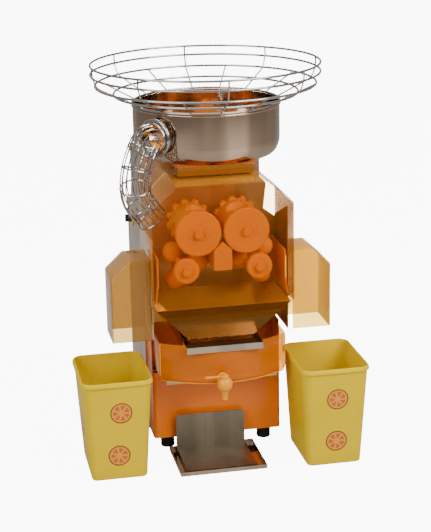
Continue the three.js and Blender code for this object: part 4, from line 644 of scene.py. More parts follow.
class Graph:
    """The node tree of a material or of the world."""

    def __init__(self, owner: bpy.types.Material | bpy.types.World) -> None:
        """Empty the owner's tree.

        Args:
            owner: the material or world that the tree belongs to.
        """
        self.owner = owner
        owner.use_nodes = True
        self.tree = owner.node_tree
        self.tree.nodes.clear()

    def node(self, kind: str, settings: dict[str, Any], inputs: dict[Any, Any]) -> dict[Any, Signal]:
        """Add a node.

        Args:
            kind: its type.
            settings: attributes that are set before its sockets.
            inputs: values or signals by socket name or number.

        Returns:
            Its outputs, by name and by number.
        """
        made = self.tree.nodes.new(kind)
        for key, value in settings.items():
            setattr(made, key, value)
        for key, value in inputs.items():
            socket = made.inputs[key]
            if isinstance(value, Signal):
                self.tree.links.new(value.socket, socket)
            elif isinstance(value, tuple) and socket.type == "RGBA":
                socket.default_value = (*value, 1.0)
            else:
                socket.default_value = value
        outputs: dict[Any, Signal] = {}
        for number, socket in enumerate(made.outputs):
            outputs[number] = Signal(self, socket)
            outputs.setdefault(socket.name, outputs[number])
        return outputs

    def place(self) -> Signal:
        """Coordinates of the object, in metres."""
        return self.node("ShaderNodeTexCoord", {}, {})["Object"]

    def stretched(self, scales: Point3, start: Point3 = (0.0, 0.0, 0.0)) -> Signal:
        """Object coordinates with a scale for each axis and a start."""
        inputs = {"Vector": self.place(), "Location": start, "Scale": scales}
        return self.node("ShaderNodeMapping", {}, inputs)[0]

    def noise(self, vector: Signal, scale: float, detail: float = 3.0, roughness: float = 0.55) -> Signal:
        """Soft noise from 0 to 1, with its middle near 0.5."""
        inputs = {"Vector": vector, "Scale": scale, "Detail": detail, "Roughness": roughness}
        return self.node("ShaderNodeTexNoise", {}, inputs)["Fac"]

    def blend(self, share: Signal | float, one: Any, two: Any) -> Signal:
        """Mix two colours."""
        settings = {"data_type": "RGBA", "clamp_factor": True}
        return self.node("ShaderNodeMix", settings, {0: share, 6: one, 7: two})[2]

    def mixed(self, share: Signal, one: Signal, two: Signal) -> Signal:
        """Mix two shaders."""
        return self.node("ShaderNodeMixShader", {}, {0: share, 1: one, 2: two})[0]

    def bump(self, height: Signal, strength: float, distance: float) -> Signal:
        """Normal from a height."""
        inputs = {"Height": height, "Strength": strength, "Distance": distance}
        return self.node("ShaderNodeBump", {}, inputs)[0]

    def surface(self, inputs: dict[str, Any]) -> Signal:
        """Add the main shader."""
        return self.node("ShaderNodeBsdfPrincipled", {}, inputs)[0]

    def camera_ray(self) -> Signal:
        """One where the camera sees the surface itself, and zero for reflections and light."""
        return self.node("ShaderNodeLightPath", {}, {})["Is Camera Ray"]

    def finish(self, shader: Signal) -> bpy.types.Material | bpy.types.World:
        """Send a shader to the output and return the owner of the tree.

        Args:
            shader: what the surface or the world shows.

        Returns:
            The owner of the tree.
        """
        world = isinstance(self.owner, bpy.types.World)
        self.node("ShaderNodeOutputWorld" if world else "ShaderNodeOutputMaterial", {}, {"Surface": shader})
        return self.owner


def shade(colour: Colour, factor: float) -> Colour:
    """Colour made lighter or darker."""
    return tuple(min(channel * factor, 1.0) for channel in colour)


# Finishes


@dataclass(frozen=True)
class Finish:
    """A named finish that makes its material once."""

    name: str
    slot: str

    def material(self) -> bpy.types.Material:
        """The material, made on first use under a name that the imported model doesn't have.

        Returns:
            The same material each time.
        """
        name = f"finish_{self.name}"
        found = bpy.data.materials.get(name)
        return found if found else self.build(Graph(bpy.data.materials.new(name)))

    def build(self, graph: Graph) -> bpy.types.Material:
        """Make the node tree."""
        raise NotImplementedError


@dataclass(frozen=True)
class Metal(Finish):
    """Stainless steel or chrome, with grain, clouds, scratches, painted reflection bands, and a juice film
    where it faces up that is partly painted light.
    """

    colour: Colour
    roughness: float
    grain: Point3 = (6.0, 6.0, 900.0)
    grain_share: float = 0.1
    grain_depth: float = 0.00004
    cloud: float = 0.08
    # Painted reflection: bands is the share of upright dark bands that stand in for a room mirrored in the
    # sheet.
    bands: float = 0.0
    reflection_band_start: float = 0.0
    reflection_band_scale: Point3 = (9.0, 9.0, 0.4)
    reflection_band_edge: Point2 = (0.45, 0.55)
    reflection_band_dark: float = 0.4
    # Juice film on upward faces, partly painted light: it lightens upward faces that lie in shade.
    film_and_painted_light: float = 0.0
    film_and_light_colour: Colour = (0.92, 0.52, 0.08)
    film_and_light_slope: Point2 = (0.1, 0.6)
    film_and_light_dulls: float = 0.8
    tones: Point2 = (0.86, 1.08)
    scratch_edge: Point2 = (0.62, 0.75)
    scratch_rough: float = 0.06

    def tone(self, graph: Graph, lines: Signal, clouds: Signal) -> Signal:
        """Colour with grain and clouds, and painted reflection: upright bands where the sheet mirrors a
        room.

        Args:
            graph: the tree.
            lines: grain from 0 to 1.
            clouds: clouds from 0 to 1.

        Returns:
            The colour.
        """
        share = (lines - 0.5) * self.grain_share * 6.0 + (clouds - 0.5) * self.cloud * 4.0 + 0.5
        low, high = (shade(self.colour, tone) for tone in self.tones)
        colour = graph.blend(share.held(), low, high)
        if self.bands == 0:
            return colour
        # Painted reflection: upright dark bands where the sheet would mirror a room.
        start = (self.reflection_band_start, 0.0, 0.0)
        upright = graph.noise(graph.stretched(self.reflection_band_scale, start), 1.0, 1.0).between(*self.reflection_band_edge)
        return graph.blend(upright * self.bands, colour, shade(self.colour, self.reflection_band_dark))

    def build(self, graph: Graph) -> bpy.types.Material:
        """Make the node tree.

        Args:
            graph: an empty tree.

        Returns:
            The finished material.
        """
        lines = graph.noise(graph.stretched(self.grain), 1.0, 2.0)
        clouds = graph.noise(graph.place(), 14.0, 3.0)
        scratches = graph.noise(graph.place(), 90.0, 4.0).between(*self.scratch_edge)
        colour = self.tone(graph, lines, clouds)
        rough = (lines - 0.5) * self.grain_share + (clouds - 0.5) * self.cloud + self.roughness
        metallic: Signal | float = 1.0
        # Juice film, partly painted light: upward faces turn warm orange and less metallic, which lifts the
        # shaded inside of the funnel.
        if self.film_and_painted_light > 0:
            normals = graph.node("ShaderNodeNewGeometry", {}, {})["Normal"]
            upward = graph.node("ShaderNodeSeparateXYZ", {}, {"Vector": normals})["Z"]
            film_and_light_share = upward.between(*self.film_and_light_slope) * self.film_and_painted_light
            colour = graph.blend(film_and_light_share, colour, self.film_and_light_colour)
            metallic = 1.0 - film_and_light_share * self.film_and_light_dulls
        return graph.finish(graph.surface({
            "Base Color": colour,
            "Metallic": metallic,
            "Roughness": (rough + scratches * self.scratch_rough).held(),
            "Normal": graph.bump(lines, 0.35, self.grain_depth),
        }))


@dataclass(frozen=True)
class Plastic(Finish):
    """Moulded plastic with faint mottling, an eggshell surface and scuffs."""

    colour: Colour
    roughness: float
    coat: float = 0.0
    mottle: float = 0.1
    texture: float = 0.00003
    scuffs: float = 0.12
    scuff_scale: Point3 = (60.0, 45.0, 160.0)
    scuff_edge: Point2 = (0.6, 0.8)
    scuff_tone: float = 1.25
    specular: float = 0.3
    coat_roughness: float = 0.12

    def build(self, graph: Graph) -> bpy.types.Material:
        """Make the node tree.

        Args:
            graph: an empty tree.

        Returns:
            The finished material.
        """
        broad = graph.noise(graph.place(), 11.0, 3.0)
        fine = graph.noise(graph.place(), 900.0, 2.0)
        marks = graph.noise(graph.stretched(self.scuff_scale), 1.0, 4.0, 0.7)
        scuffed = marks.between(*self.scuff_edge) * self.scuffs
        low, high = shade(self.colour, 1 - self.mottle), shade(self.colour, 1 + self.mottle)
        colour = graph.blend(((broad - 0.5) * 1.6 + 0.5).held(), low, high)
        return graph.finish(graph.surface({
            "Base Color": graph.blend(scuffed, colour, shade(self.colour, self.scuff_tone)),
            "Roughness": ((fine - 0.5) * 0.08 + self.roughness + scuffed).held(),
            "Specular IOR Level": self.specular,
            "Coat Weight": self.coat,
            "Coat Roughness": self.coat_roughness,
            "Normal": graph.bump(fine + broad * 2.0, 0.3, self.texture),
        }))


@dataclass(frozen=True)
class ClearPlastic(Finish):
    """Tinted clear sheet: light passes with a tint, and more of it is held back at a slant."""

    colour: Colour
    tint: Colour
    haze: float
    edge: float = 0.5
    roughness: float = 0.06
    smear_scale: Point3 = (40.0, 40.0, 220.0)
    smear_edge: Point2 = (0.58, 0.8)
    smear_haze: float = 0.03
    smear_rough: float = 0.15
    slant_edge: Point2 = (0.3, 0.85)
    coat: float = 0.6
    coat_roughness: float = 0.04

    def build(self, graph: Graph) -> bpy.types.Material:
        """Make the node tree.

        Args:
            graph: an empty tree.

        Returns:
            The finished material.
        """
        clouds = graph.noise(graph.place(), 8.0, 3.0)
        marks = graph.noise(graph.stretched(self.smear_scale), 1.0, 5.0, 0.7)
        smears = marks.between(*self.smear_edge)
        slant = graph.node("ShaderNodeLayerWeight", {}, {"Blend": 0.35})["Facing"]
        haze = (clouds - 0.5) * self.smear_haze + self.haze + smears * self.smear_haze
        held_back = haze + slant.between(*self.slant_edge) * self.edge
        clear = graph.node("ShaderNodeBsdfTransparent", {}, {"Color": self.tint})[0]
        body = graph.surface({
            "Base Color": self.colour,
            "Roughness": (smears * self.smear_rough + self.roughness).held(),
            "Coat Weight": self.coat,
            "Coat Roughness": self.coat_roughness,
            "Normal": graph.bump(clouds, 0.2, 0.0004),
        })
        return graph.finish(graph.mixed(held_back.held(), clear, body))


@dataclass(frozen=True)
class Ink(Finish):
    """Printed label colour under a thin varnish."""

    colour: Colour
    fleck: float = 0.12
    roughness: float = 0.35
    varnish: float = 0.3

    def build(self, graph: Graph) -> bpy.types.Material:
        """Make the node tree.

        Args:
            graph: an empty tree.

        Returns:
            The finished material.
        """
        dots = graph.noise(graph.place(), 700.0, 2.0)
        low, high = shade(self.colour, 1 - self.fleck), shade(self.colour, 1 + self.fleck)
        return graph.finish(graph.surface({
            "Base Color": graph.blend(dots, low, high),
            "Roughness": ((dots - 0.5) * 0.1 + self.roughness).held(),
            "Coat Weight": self.varnish,
        }))


# Painted reflection: the warm tints of STEEL_SHEET, COLUMN_STEEL, POLISHED_STEEL and DRUM_STEEL, and the
# golden brown of BRACKET_STEEL, stand in for a warm room mirrored in the steel.
STEEL_SHEET = Metal("steel_sheet", "steel_sheet", (0.56, 0.40, 0.28), 0.24, (5.0, 5.0, 5.0), 0.05)
COLUMN_STEEL = Metal(
    "column_steel", "steel_sheet", (0.68, 0.46, 0.31), 0.2, (700.0, 700.0, 4.0), 0.09, bands=0.45
)
# Painted light and painted reflection: a lighter, golden copy of the steel colour for the chamber plates,
# which lifts their shade behind the cover and stands in for mirrored orange drums.
LIT_CHAMBER_STEEL = Metal(
    "lit_chamber_steel", "polished_steel", (0.92, 0.70, 0.38), 0.36, (500.0, 5.0, 5.0), 0.08, bands=0.55
)
# Painted shade: the funnel's dark brown base colour darkens its lit outer faces, while the film and painted
# light lift its upward faces.
FUNNEL_STEEL = Metal(
    "funnel_steel", "polished_steel", (0.18, 0.08, 0.02), 0.2, (5.0, 5.0, 5.0), 0.06, film_and_painted_light=1.0
)
BRACKET_STEEL = Metal("bracket_steel", "steel_sheet", (0.60, 0.27, 0.05), 0.22, (5.0, 5.0, 5.0), 0.05)
POLISHED_STEEL = Metal(
    "polished_steel", "polished_steel", (0.58, 0.46, 0.36), 0.1, (4.0, 4.0, 800.0), 0.04, bands=0.3
)
DRUM_STEEL = Metal(
    "drum_steel",
    "polished_steel",
    (0.72, 0.51, 0.36),
    0.08,
    (500.0, 500.0, 3.0),
    0.06,
    bands=0.7,
    reflection_band_start=3.9,
)
CHROME_WIRE = Metal("chrome_wire", "chrome_wire", (0.42, 0.39, 0.36), 0.07, (80.0, 80.0, 80.0), 0.03)
BRUSHED_PLATE = Metal(
    "brushed_plate", "brushed_plate", (0.30, 0.26, 0.20), 0.36, (500.0, 5.0, 5.0), 0.25, bands=0.3
)
CAST_METAL = Metal("cast_metal", "cast_metal", (0.36, 0.38, 0.40), 0.5, (260.0, 260.0, 260.0), 0.2, 0.0003)
PRESS_ORANGE = Plastic("press_orange", "press_orange", (0.84, 0.28, 0.001), 0.36, 0.0, 0.08, specular=0.1)
PANEL_ENAMEL = Plastic("panel_enamel", "orange_panel", (0.95, 0.22, 0.002), 0.22, 0.25, 0.06, 0.00006)
TAP_ORANGE = Plastic("tap_orange", "tap_orange", (0.85, 0.30, 0.006), 0.24, 0.2, 0.08)
BIN_YELLOW = Plastic("bin_yellow", "bin_yellow", (0.70, 0.48, 0.0005), 0.3, 0.0, 0.05, specular=0.05)
SWITCH_YELLOW = Plastic("switch_yellow", "switch_yellow", (0.64, 0.42, 0.002), 0.3, 0.2, 0.05)
BLACK_PLASTIC = Plastic("black_plastic", "black_plastic", (0.02, 0.02, 0.02), 0.4, 0.1, 0.1)
BLACK_RUBBER = Plastic("black_rubber", "rubber_black", (0.016, 0.014, 0.014), 0.7, 0.0, 0.2, 0.0001)
GEAR_NYLON = Plastic("gear_nylon", "gear_nylon", (0.78, 0.75, 0.66), 0.42, 0.1, 0.05)
AMBER_COVER = ClearPlastic("amber_cover", "amber_cover", (0.80, 0.34, 0.01), (0.92, 0.80, 0.68), 0.02, 0.85)
AMBER_CHUTE = ClearPlastic("amber_chute", "amber_chute", (0.92, 0.48, 0.04), (0.80, 0.66, 0.30), 0.30, 0.7)
# Painted shade: a darker copy of the chute amber, for the left chute.
SHADED_AMBER_CHUTE = ClearPlastic(
    "shaded_amber_chute", "amber_chute", (0.55, 0.27, 0.05), (0.66, 0.54, 0.30), 0.36, 0.6
)
AMBER_TANK = ClearPlastic("amber_tank", "amber_tank", (1.0, 0.30, 0.006), (1.0, 0.80, 0.42), 0.26, 0.5)
RIND_INK = Ink("rind_ink", "bin_yellow", (0.20, 0.035, 0.002))
PITH_INK = Ink("pith_ink", "bin_yellow", (0.72, 0.29, 0.015))
PULP_INK = Ink("pulp_ink", "bin_yellow", (0.52, 0.09, 0.001))


def present(
    piece: bpy.types.Object, body: str, *finishes: Finish, stands_for: Iterable[str] = ()
) -> None:
    """Dress a new piece and hang it on its body.

    Args:
        piece: the finished mesh object.
        body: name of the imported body.
        finishes: one for each material slot.
        stands_for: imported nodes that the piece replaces.
    """
    for finish in finishes:
        piece.data.materials.append(finish.material())
    piece.data.shade_smooth()
    piece.data.set_sharp_from_angle(angle=SMOOTH_ANGLE)
    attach(piece, body)
    if stands_for:
        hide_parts(*stands_for)
    log.info("%s rides on %s with %d faces", piece.name, body, len(piece.data.polygons))


def dress(node: bpy.types.Object, finish: Finish, edge: float = SHEET_EDGE) -> None:
    """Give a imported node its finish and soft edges, without a change to its mesh.

    Args:
        node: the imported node's object.
        finish: its finish.
        edge: width of the soft edges.
    """
    node.data.materials.clear()
    node.data.materials.append(finish.material())
    weld = node.modifiers.new("weld", "WELD")
    weld.merge_threshold = WELD_DISTANCE
    add_bevel(node, edge)
    log.info("%s keeps its packed mesh", node.name)


def screw_heads(
    name: str, spots: Sequence[Vector], direction: Sequence[float], radius: float
) -> bpy.types.Object:
    """Round screw heads with a round socket.

    Args:
        name: of the piece that holds them all.
        spots: where each head sits.
        direction: away from the surface.
        radius: of a head.

    Returns:
        One object with all the heads.
    """
    sketch = Sketch()
    rise = 0.55 * radius
    profile = [
        (0.0, 0.0),
        (radius, 0.0),
        (radius, 0.12 * radius),
        (0.86 * radius, 0.62 * rise),
        (0.5 * radius, rise),
        (0.45 * radius, rise),
        (0.42 * radius, 0.4 * rise),
        (0.0, 0.35 * rise),
    ]
    for spot in spots:
        sketch.turned(profile, facing_place(spot, direction), 24)
    return sketch.piece(name)


# Sub-assemblies


@dataclass
class Cabinet:
    """Column, base, front panel, shelf, service panel, inlet, switch and feet."""

    nodes: dict[str, bpy.types.Object]
    foot_lip: float = 0.003
    foot_grooves: tuple[float, ...] = (0.3, 0.55)
    panel_corner: float = 0.010
    sheet: float = 0.002
    shelf_level: float = 0.226
    knob_depth: float = 0.009
    knob_flare: float = 0.0015
    grip_half: float = 0.0028
    mark_half: float = 0.0008
    mark_proud: float = 0.0003
    mark_sunk: float = 0.0002
    mark_reach: Point2 = (0.002, 0.007)
    band_height: float = 0.013
    band_proud: float = 0.0006
    band_sheet: float = 0.0008
    band_drop: float = 0.0004
    band_short: float = 0.004
    inlet_edge: float = 0.001
    screw_inset: float = 0.006
    screw_rows: int = 4
    screw_sunk: float = 0.0002
    screw_radius: float = 0.0035

    def build(self) -> None:
        """Make and dress every piece of the cabinet."""
        for node in ("base_plate", "tank_shelf"):
            dress(self.nodes[node], STEEL_SHEET)
        dress(self.nodes["drum_bracket"], BRACKET_STEEL)
        self.make_band()
        for node in ("rear_housing", "service_panel"):
            dress(self.nodes[node], COLUMN_STEEL, ROUND_EDGE)
        dress(self.nodes["power_inlet"], BLACK_PLASTIC, self.inlet_edge)
        self.make_feet()
        self.make_panel()
        self.make_switch()
        self.make_screws()

    def make_feet(self) -> None:
        """Rubber feet with a rounded sole and two grooves."""
        lip = self.foot_lip
        for node in [f"foot_{end}_{side}" for end in ("front", "rear") for side, _ in SIDES]:
            box = Extent.of(node)
            radius, height = box.size.y / 2, box.size.z
            profile = [(0.0, 0.0), (radius - lip, 0.0), (radius - 0.3 * lip, 0.3 * lip), (radius, lip)]
            for level in self.foot_grooves:
                profile += [
                    (radius, height * level),
                    (radius - lip / 2, height * level + lip / 4),
                    (radius - lip / 2, height * level + lip),
                    (radius, height * level + 1.25 * lip),
                ]
            profile += [(radius, height - lip), (radius - lip, height), (0.0, height)]
            place = Matrix.Translation((box.middle.x, box.middle.y, box.low.z))
            foot = Sketch().turned(profile, place, 48).piece(f"rubber_{node}")
            present(foot, "machine", BLACK_RUBBER, stands_for=[node])

    def make_panel(self) -> None:
        """Orange panel folded round both front corners, open at the top for the tank."""
        box = Extent.of("front_panel")
        low, high = box.low, box.high
        radius = self.panel_corner
        over = 0.02
        corners = [(low.x, high.y), (low.x, low.y), (high.x, low.y), (high.x, high.y)]
        outline = rounded(corners, [0.0, radius, radius, 0.0], 8)
        inner = drawn_in(outline, self.sheet)
        inner = [(x, y if y < high.y - self.sheet * 1.5 else high.y + over) for x, y in inner]
        panel = Sketch().prism(outline, low.z, high.z, Along.Z).piece("enamel_front_panel")
        hollow = Sketch().prism(inner, low.z - over, high.z + over, Along.Z).piece("hollow")
        mouth = Sketch().block(
            (low.x - over, low.y - over, self.shelf_level),
            (high.x + over, low.y + radius, high.z + over),
        ).piece("mouth")
        combine(panel, Cut.AWAY, hollow, mouth)
        soften(panel, SHEET_EDGE)
        present(panel, "machine", PANEL_ENAMEL, stands_for=["front_panel"])

    def make_band(self) -> None:
        """Orange band along the top edge of the drum's bracket."""
        box = Extent.of("drum_bracket")
        proud, sheet, over = self.band_proud, self.band_sheet, 0.01
        low, high = box.high.z - self.band_height, box.high.z - self.band_drop
        left, right = box.low.x - proud, box.high.x + proud
        near, far = box.low.y - proud, box.high.y - self.band_short
        outline = [(left, far), (left, near), (right, near), (right, far)]
        band = Sketch().prism(outline, low, high, Along.Z).piece("bracket_band")
        space = Sketch().block(
            (left + sheet, near + sheet, low - over),
            (right - sheet, box.high.y + over, high + over),
        ).piece("space")
        combine(band, Cut.AWAY, space)
        present(band, "machine", PANEL_ENAMEL)

    def make_switch(self) -> None:
        """Round yellow plate and a black rotary knob on the left side."""
        plate_box = Extent.of("switch_plate")
        x, y, z = plate_box.high.x, plate_box.middle.y, plate_box.middle.z
        radius, depth = plate_box.size.z / 2, plate_box.size.x
        profile = [(0.0, 0.0), (radius, 0.0), (radius, 0.6 * depth), (0.94 * radius, depth), (0.0, depth)]
        place = facing_place((x, y, z), LEFTWARD)
        plate = Sketch().turned(profile, place, 64).piece("round_switch_plate")
        present(plate, "machine", SWITCH_YELLOW, stands_for=["switch_plate"])
        knob_box = Extent.of("switch_knob")
        knob_radius, rear = knob_box.size.z / 2, knob_box.high.x
        depth, half = self.knob_depth, self.grip_half
        profile = [
            (0.0, 0.0),
            (knob_radius, 0.0),
            (knob_radius, 0.3 * depth),
            (knob_radius - self.knob_flare, depth),
            (0.0, depth),
        ]
        knob = Sketch().turned(profile, facing_place((rear, y, z), LEFTWARD), 48).block(
            (knob_box.low.x, y - half, z - 0.94 * knob_radius),
            (rear - 0.5 * depth, y + half, z + 0.94 * knob_radius),
        ).piece("switch_knob_grip")
        soften(knob, 0.0008, 3)
        present(knob, "switch", BLACK_PLASTIC, stands_for=["switch_knob"])
        low, high = self.mark_reach
        face = plate_box.low.x
        mark = Sketch().block(
            (face - self.mark_proud, y - self.mark_half, z + knob_radius + low),
            (face + self.mark_sunk, y + self.mark_half, z + knob_radius + high),
        ).piece("switch_mark")
        present(mark, "machine", BLACK_PLASTIC)

    def make_screws(self) -> None:
        """Screws of the service panel."""
        box = Extent.of("service_panel")
        inset, last = self.screw_inset, self.screw_rows - 1
        y = box.high.y - self.screw_sunk
        spots = [
            Vector((x, y, box.low.z + inset + (box.size.z - 2 * inset) * k / last))
            for x in (box.low.x + inset, box.high.x - inset)
            for k in range(self.screw_rows)
        ]
        screws = screw_heads("service_panel_screws", spots, BACKWARD, self.screw_radius)
        present(screws, "machine", POLISHED_STEEL)


@dataclass
class FeedUnit:
    """Feed drum, outlet collar, feeder, fruit basket and wire chute."""

    nodes: dict[str, bpy.types.Object]
    wall: float = 0.002
    roll: float = 0.003
    foot_radius: float = 0.167
    hole_radius: float = 0.014
    bend_level: float = 0.850
    outlet_turn: float = math.radians(50)
    outlet_level: float = 0.878
    outlet_bore: float = 0.036
    collar_wall: float = 0.005
    collar_reach: float = 0.212
    collar_root: float = 0.17
    collar_fillet: float = 0.003
    collar_gap: float = 0.0003
    flange_radius: float = 0.050
    flange_thick: float = 0.008
    flange_screws: int = 4
    flange_screw_sunk: float = 0.0004
    mouth: float = 0.004
    mouth_edge: float = 0.001
    flange_screw_radius: float = 0.0034
    disc_low: float = 0.8143
    disc_high: float = 0.8283
    disc_radius: float = 0.160
    disc_foot_edge: float = 0.002
    disc_top_edge: float = 0.004
    pocket_radius: float = 0.040
    pocket_count: int = 5
    stem_radius: float = 0.008
    cone_root: float = 0.0615
    cone_foot: float = 0.056
    cone_neck: float = 0.017
    cone_nose: float = 0.014
    cone_sunk: float = 0.0005
    basket_wire: float = 0.003
    basket_rib: float = 0.0022
    basket_middle: float = 1.018
    basket_low: float = 0.988
    basket_low_radius: float = 0.288
    basket_posts: int = 8
    basket_bend: float = 0.012
    chute_radius: float = 0.038
    chute_wire: float = 0.0018
    chute_hoop: float = 0.0024
    chute_rods: int = 16
    chute_hoops: int = 6
    chute_steps: int = 40
    chute_gap: float = 0.0027
    chute_lead: Point2 = (0.024, 0.003)
    chute_bends: tuple[Point3, ...] = (
        (-0.216, -0.180, 0.806),
        (-0.214, -0.160, 0.732),
        (-0.176, -0.146, 0.672),
    )

    def __post_init__(self) -> None:
        """Read the axis and the wall of the drum from the frame."""
        self.drum = Extent.of("feed_drum")
        self.axis = Vector((self.drum.middle.x, self.drum.middle.y, 0.0))
        self.straight = self.drum.high.x - self.axis.x - self.roll
        self.outward = Vector((-math.sin(self.outlet_turn), -math.cos(self.outlet_turn), 0.0))

    def build(self) -> None:
        """Make and dress every piece of the feed unit."""
        self.make_drum()
        self.make_collar()
        self.make_feeder()
        self.make_basket()
        self.make_chute()
        dress(self.nodes["feeder_gearmotor"], CAST_METAL)

    def outlet_place(self) -> Matrix:
        """Matrix of forms turned about the outlet's axis."""
        centre = self.axis + Vector((0, 0, self.outlet_level))
        return facing_place(centre, self.outward)

    def around(self, turn: float, reach: float, level: float) -> Vector:
        """Point at a turn about the drum's axis."""
        outward = Vector((math.cos(turn), math.sin(turn), 0.0))
        return self.axis + outward * reach + Vector((0, 0, level))

    def side(self, inset: float) -> list[Point2]:
        """Profile of the drum's foot and bend, moved in by an inset.

        Args:
            inset: how far it is moved in.

        Returns:
            Points of radius and height, from the foot up.
        """
        flare = self.straight - self.foot_radius
        rise = self.bend_level - self.drum.low.z - inset
        steps = 8
        turns = [math.pi / 2 * k / steps for k in range(steps + 1)]
        return [
            (self.foot_radius - inset + flare * math.sin(turn), self.bend_level - rise * math.cos(turn))
            for turn in turns
        ]

    def make_drum(self) -> None:
        """Spun steel drum with a rolled rim and the outlet's hole."""
        low, top = self.drum.low.z, self.drum.high.z
        straight, roll = self.straight, self.roll
        profile = [
            (self.hole_radius, low),
            *self.side(0.0),
            *arc((straight, top - roll), roll, -math.pi / 2, 0.75 * math.pi, 8),
            (straight - self.wall, top - 2 * roll),
            *reversed(self.side(self.wall)),
            (self.hole_radius, low + self.wall),
        ]
        place = Matrix.Translation(self.axis)
        drum = Sketch().turned(profile, place, 160, closed=True).piece("steel_feed_drum")
        through = rod(self.outlet_bore, 0.12, 0.25)
        hole = Sketch().turned(through, self.outlet_place(), 96).piece("hole")
        combine(drum, Cut.AWAY, hole)
        present(drum, "machine", DRUM_STEEL, stands_for=["feed_drum"])

    def make_collar(self) -> None:
        """Chrome collar with a rounded flange and its screws."""
        bore, reach, fillet = self.outlet_bore, self.collar_reach, self.collar_fillet
        outside = bore + self.collar_wall
        flange, thick = self.flange_radius, self.flange_thick
        rim = (flange - thick / 2, reach - thick / 2)
        profile = [
            (bore, self.collar_root),
            (outside, self.collar_root),
            (outside, reach - thick - fillet),
            (outside + fillet, reach - thick),
            *arc(rim, thick / 2, -math.pi / 2, math.pi / 2, 6),
            (bore + self.mouth, reach),
            (bore + self.mouth_edge, reach - self.mouth_edge),
            (bore, reach - self.mouth),
        ]
        collar = Sketch().turned(profile, self.outlet_place(), 96, closed=True).piece("chrome_outlet_collar")
        inside = rod(self.straight + self.collar_gap, self.drum.low.z, self.drum.high.z)
        space = Sketch().turned(inside, Matrix.Translation(self.axis), 160).piece("space")
        combine(collar, Cut.AWAY, space)
        present(collar, "machine", CHROME_WIRE, stands_for=["outlet_collar"])
        ring = (bore + flange) / 2
        spots = []
        for k in range(self.flange_screws):
            turn = math.pi / 4 + 2 * math.pi * k / self.flange_screws
            local = (ring * math.cos(turn), ring * math.sin(turn), reach - self.flange_screw_sunk)
            spots.append(self.outlet_place() @ Vector(local))
        screws = screw_heads("collar_screws", spots, self.outward, self.flange_screw_radius)
        present(screws, "machine", POLISHED_STEEL)

    def make_feeder(self) -> None:
        """Orange feeder disc with pockets and a rounded cone."""
        box = Extent.of("feeder_disc")
        low, high, radius = self.disc_low, self.disc_high, self.disc_radius
        place = Matrix.Translation(self.axis)
        profile = [
            (0.0, low),
            (radius - self.disc_foot_edge, low),
            (radius, low + self.disc_foot_edge),
            (radius, high - self.disc_top_edge),
            (radius - self.disc_top_edge, high),
            (0.0, high),
        ]
        disc = Sketch().turned(profile, place, 128).piece("feeder_disc_and_cone")
        pocket, over = self.pocket_radius, 0.01
        cutters = []
        for k in range(self.pocket_count):
            turn = 2 * math.pi * k / self.pocket_count
            reach = radius - pocket / 2
            spot = self.axis + Vector((reach * math.cos(turn), reach * math.sin(turn), 0.0))
            cutter = Sketch().turned(rod(pocket, low - over, high + over), Matrix.Translation(spot), 64)
            cutters.append(cutter.piece(f"pocket_{k}"))
        combine(disc, Cut.AWAY, *cutters)
        soften(disc, CAST_EDGE, 3)
        stem, root, nose, sunk = self.stem_radius, self.cone_root, self.cone_nose, self.cone_sunk
        cone = [
            (0.0, box.low.z),
            (stem, box.low.z),
            (stem, low + sunk),
            (root, low + sunk),
            (root, high - sunk),
            (root - 0.001, high + sunk),
            (self.cone_foot, high + 0.003),
            (self.cone_neck, box.high.z - nose - 0.002),
            *arc((0.0, box.high.z - nose), nose, 0.0, math.pi / 2, 5)[1:],
        ]
        core = Sketch().turned(cone, place, 96).piece("core")
        combine(disc, Cut.JOIN, core)
        present(disc, "feeder", PRESS_ORANGE, stands_for=["feeder_disc"])

    def make_basket(self) -> None:
        """Welded wire basket: two rim hoops, two belly hoops, a seat hoop and bent ribs."""
        box = Extent.of("fruit_basket")
        wire, low_radius, low = self.basket_wire, self.basket_low_radius, self.basket_low
        radius, top = box.size.x / 2 - wire, box.high.z - wire
        seat_radius, seat = self.straight, box.low.z + wire
        hoops = (
            (radius, top),
            (radius, self.basket_middle),
            (low_radius, low),
            ((seat_radius + low_radius) / 2, (seat + low) / 2),
            (seat_radius, seat),
        )
        sketch = Sketch()
        for hoop_radius, level in hoops:
            ring = [self.axis + Vector((x, y, level)) for x, y in circle(hoop_radius, 128)]
            sketch.wire(ring, wire, 12, closed=True)
        inside = wire * 0.9
        for k in range(2 * self.basket_posts):
            corners = [(seat_radius, seat), (low_radius, low)]
            if k % 2 == 0:
                corners += [(radius, self.basket_middle), (radius, top)]
            turn = math.pi * k / self.basket_posts
            points = [self.around(turn, reach - inside, level) for reach, level in corners]
            sketch.wire(bent(points, self.basket_bend), self.basket_rib, 10)
        present(sketch.piece("wire_fruit_basket"), "basket", CHROME_WIRE, stands_for=["fruit_basket"])

    def chute_points(self) -> list[Vector]:
        """Middle line of the wire chute.

        Returns:
            The points that it passes through, from the collar down.
        """
        level = Vector((0, 0, self.outlet_level))
        start = self.axis + self.outward * (self.collar_reach + self.chute_gap) + level
        lead = start + self.outward * self.chute_lead[0] - Vector((0, 0, self.chute_lead[1]))
        return [start, lead, *[Vector((x + self.axis.x, y, z)) for x, y, z in self.chute_bends]]

    def make_chute(self) -> None:
        """Round cage of bent wires that leads the fruit from the collar to the press."""
        steps, reach = self.chute_steps, self.chute_radius
        path = smooth_path(self.chute_points(), steps)
        tangents = [(path[min(i + 1, steps)] - path[max(i - 1, 0)]).normalized() for i in range(steps + 1)]
        tangents[0] = self.outward.copy()

        def spot(i: int, turn: float) -> Vector:
            """Point on the cage at a step of the path.

            Args:
                i: the step.
                turn: about the path.

            Returns:
                The point.
            """
            flat = Vector((0, 1, 0)).cross(tangents[i]).normalized()
            high = tangents[i].cross(flat).normalized()
            return path[i] + flat * reach * math.cos(turn) + high * reach * math.sin(turn)

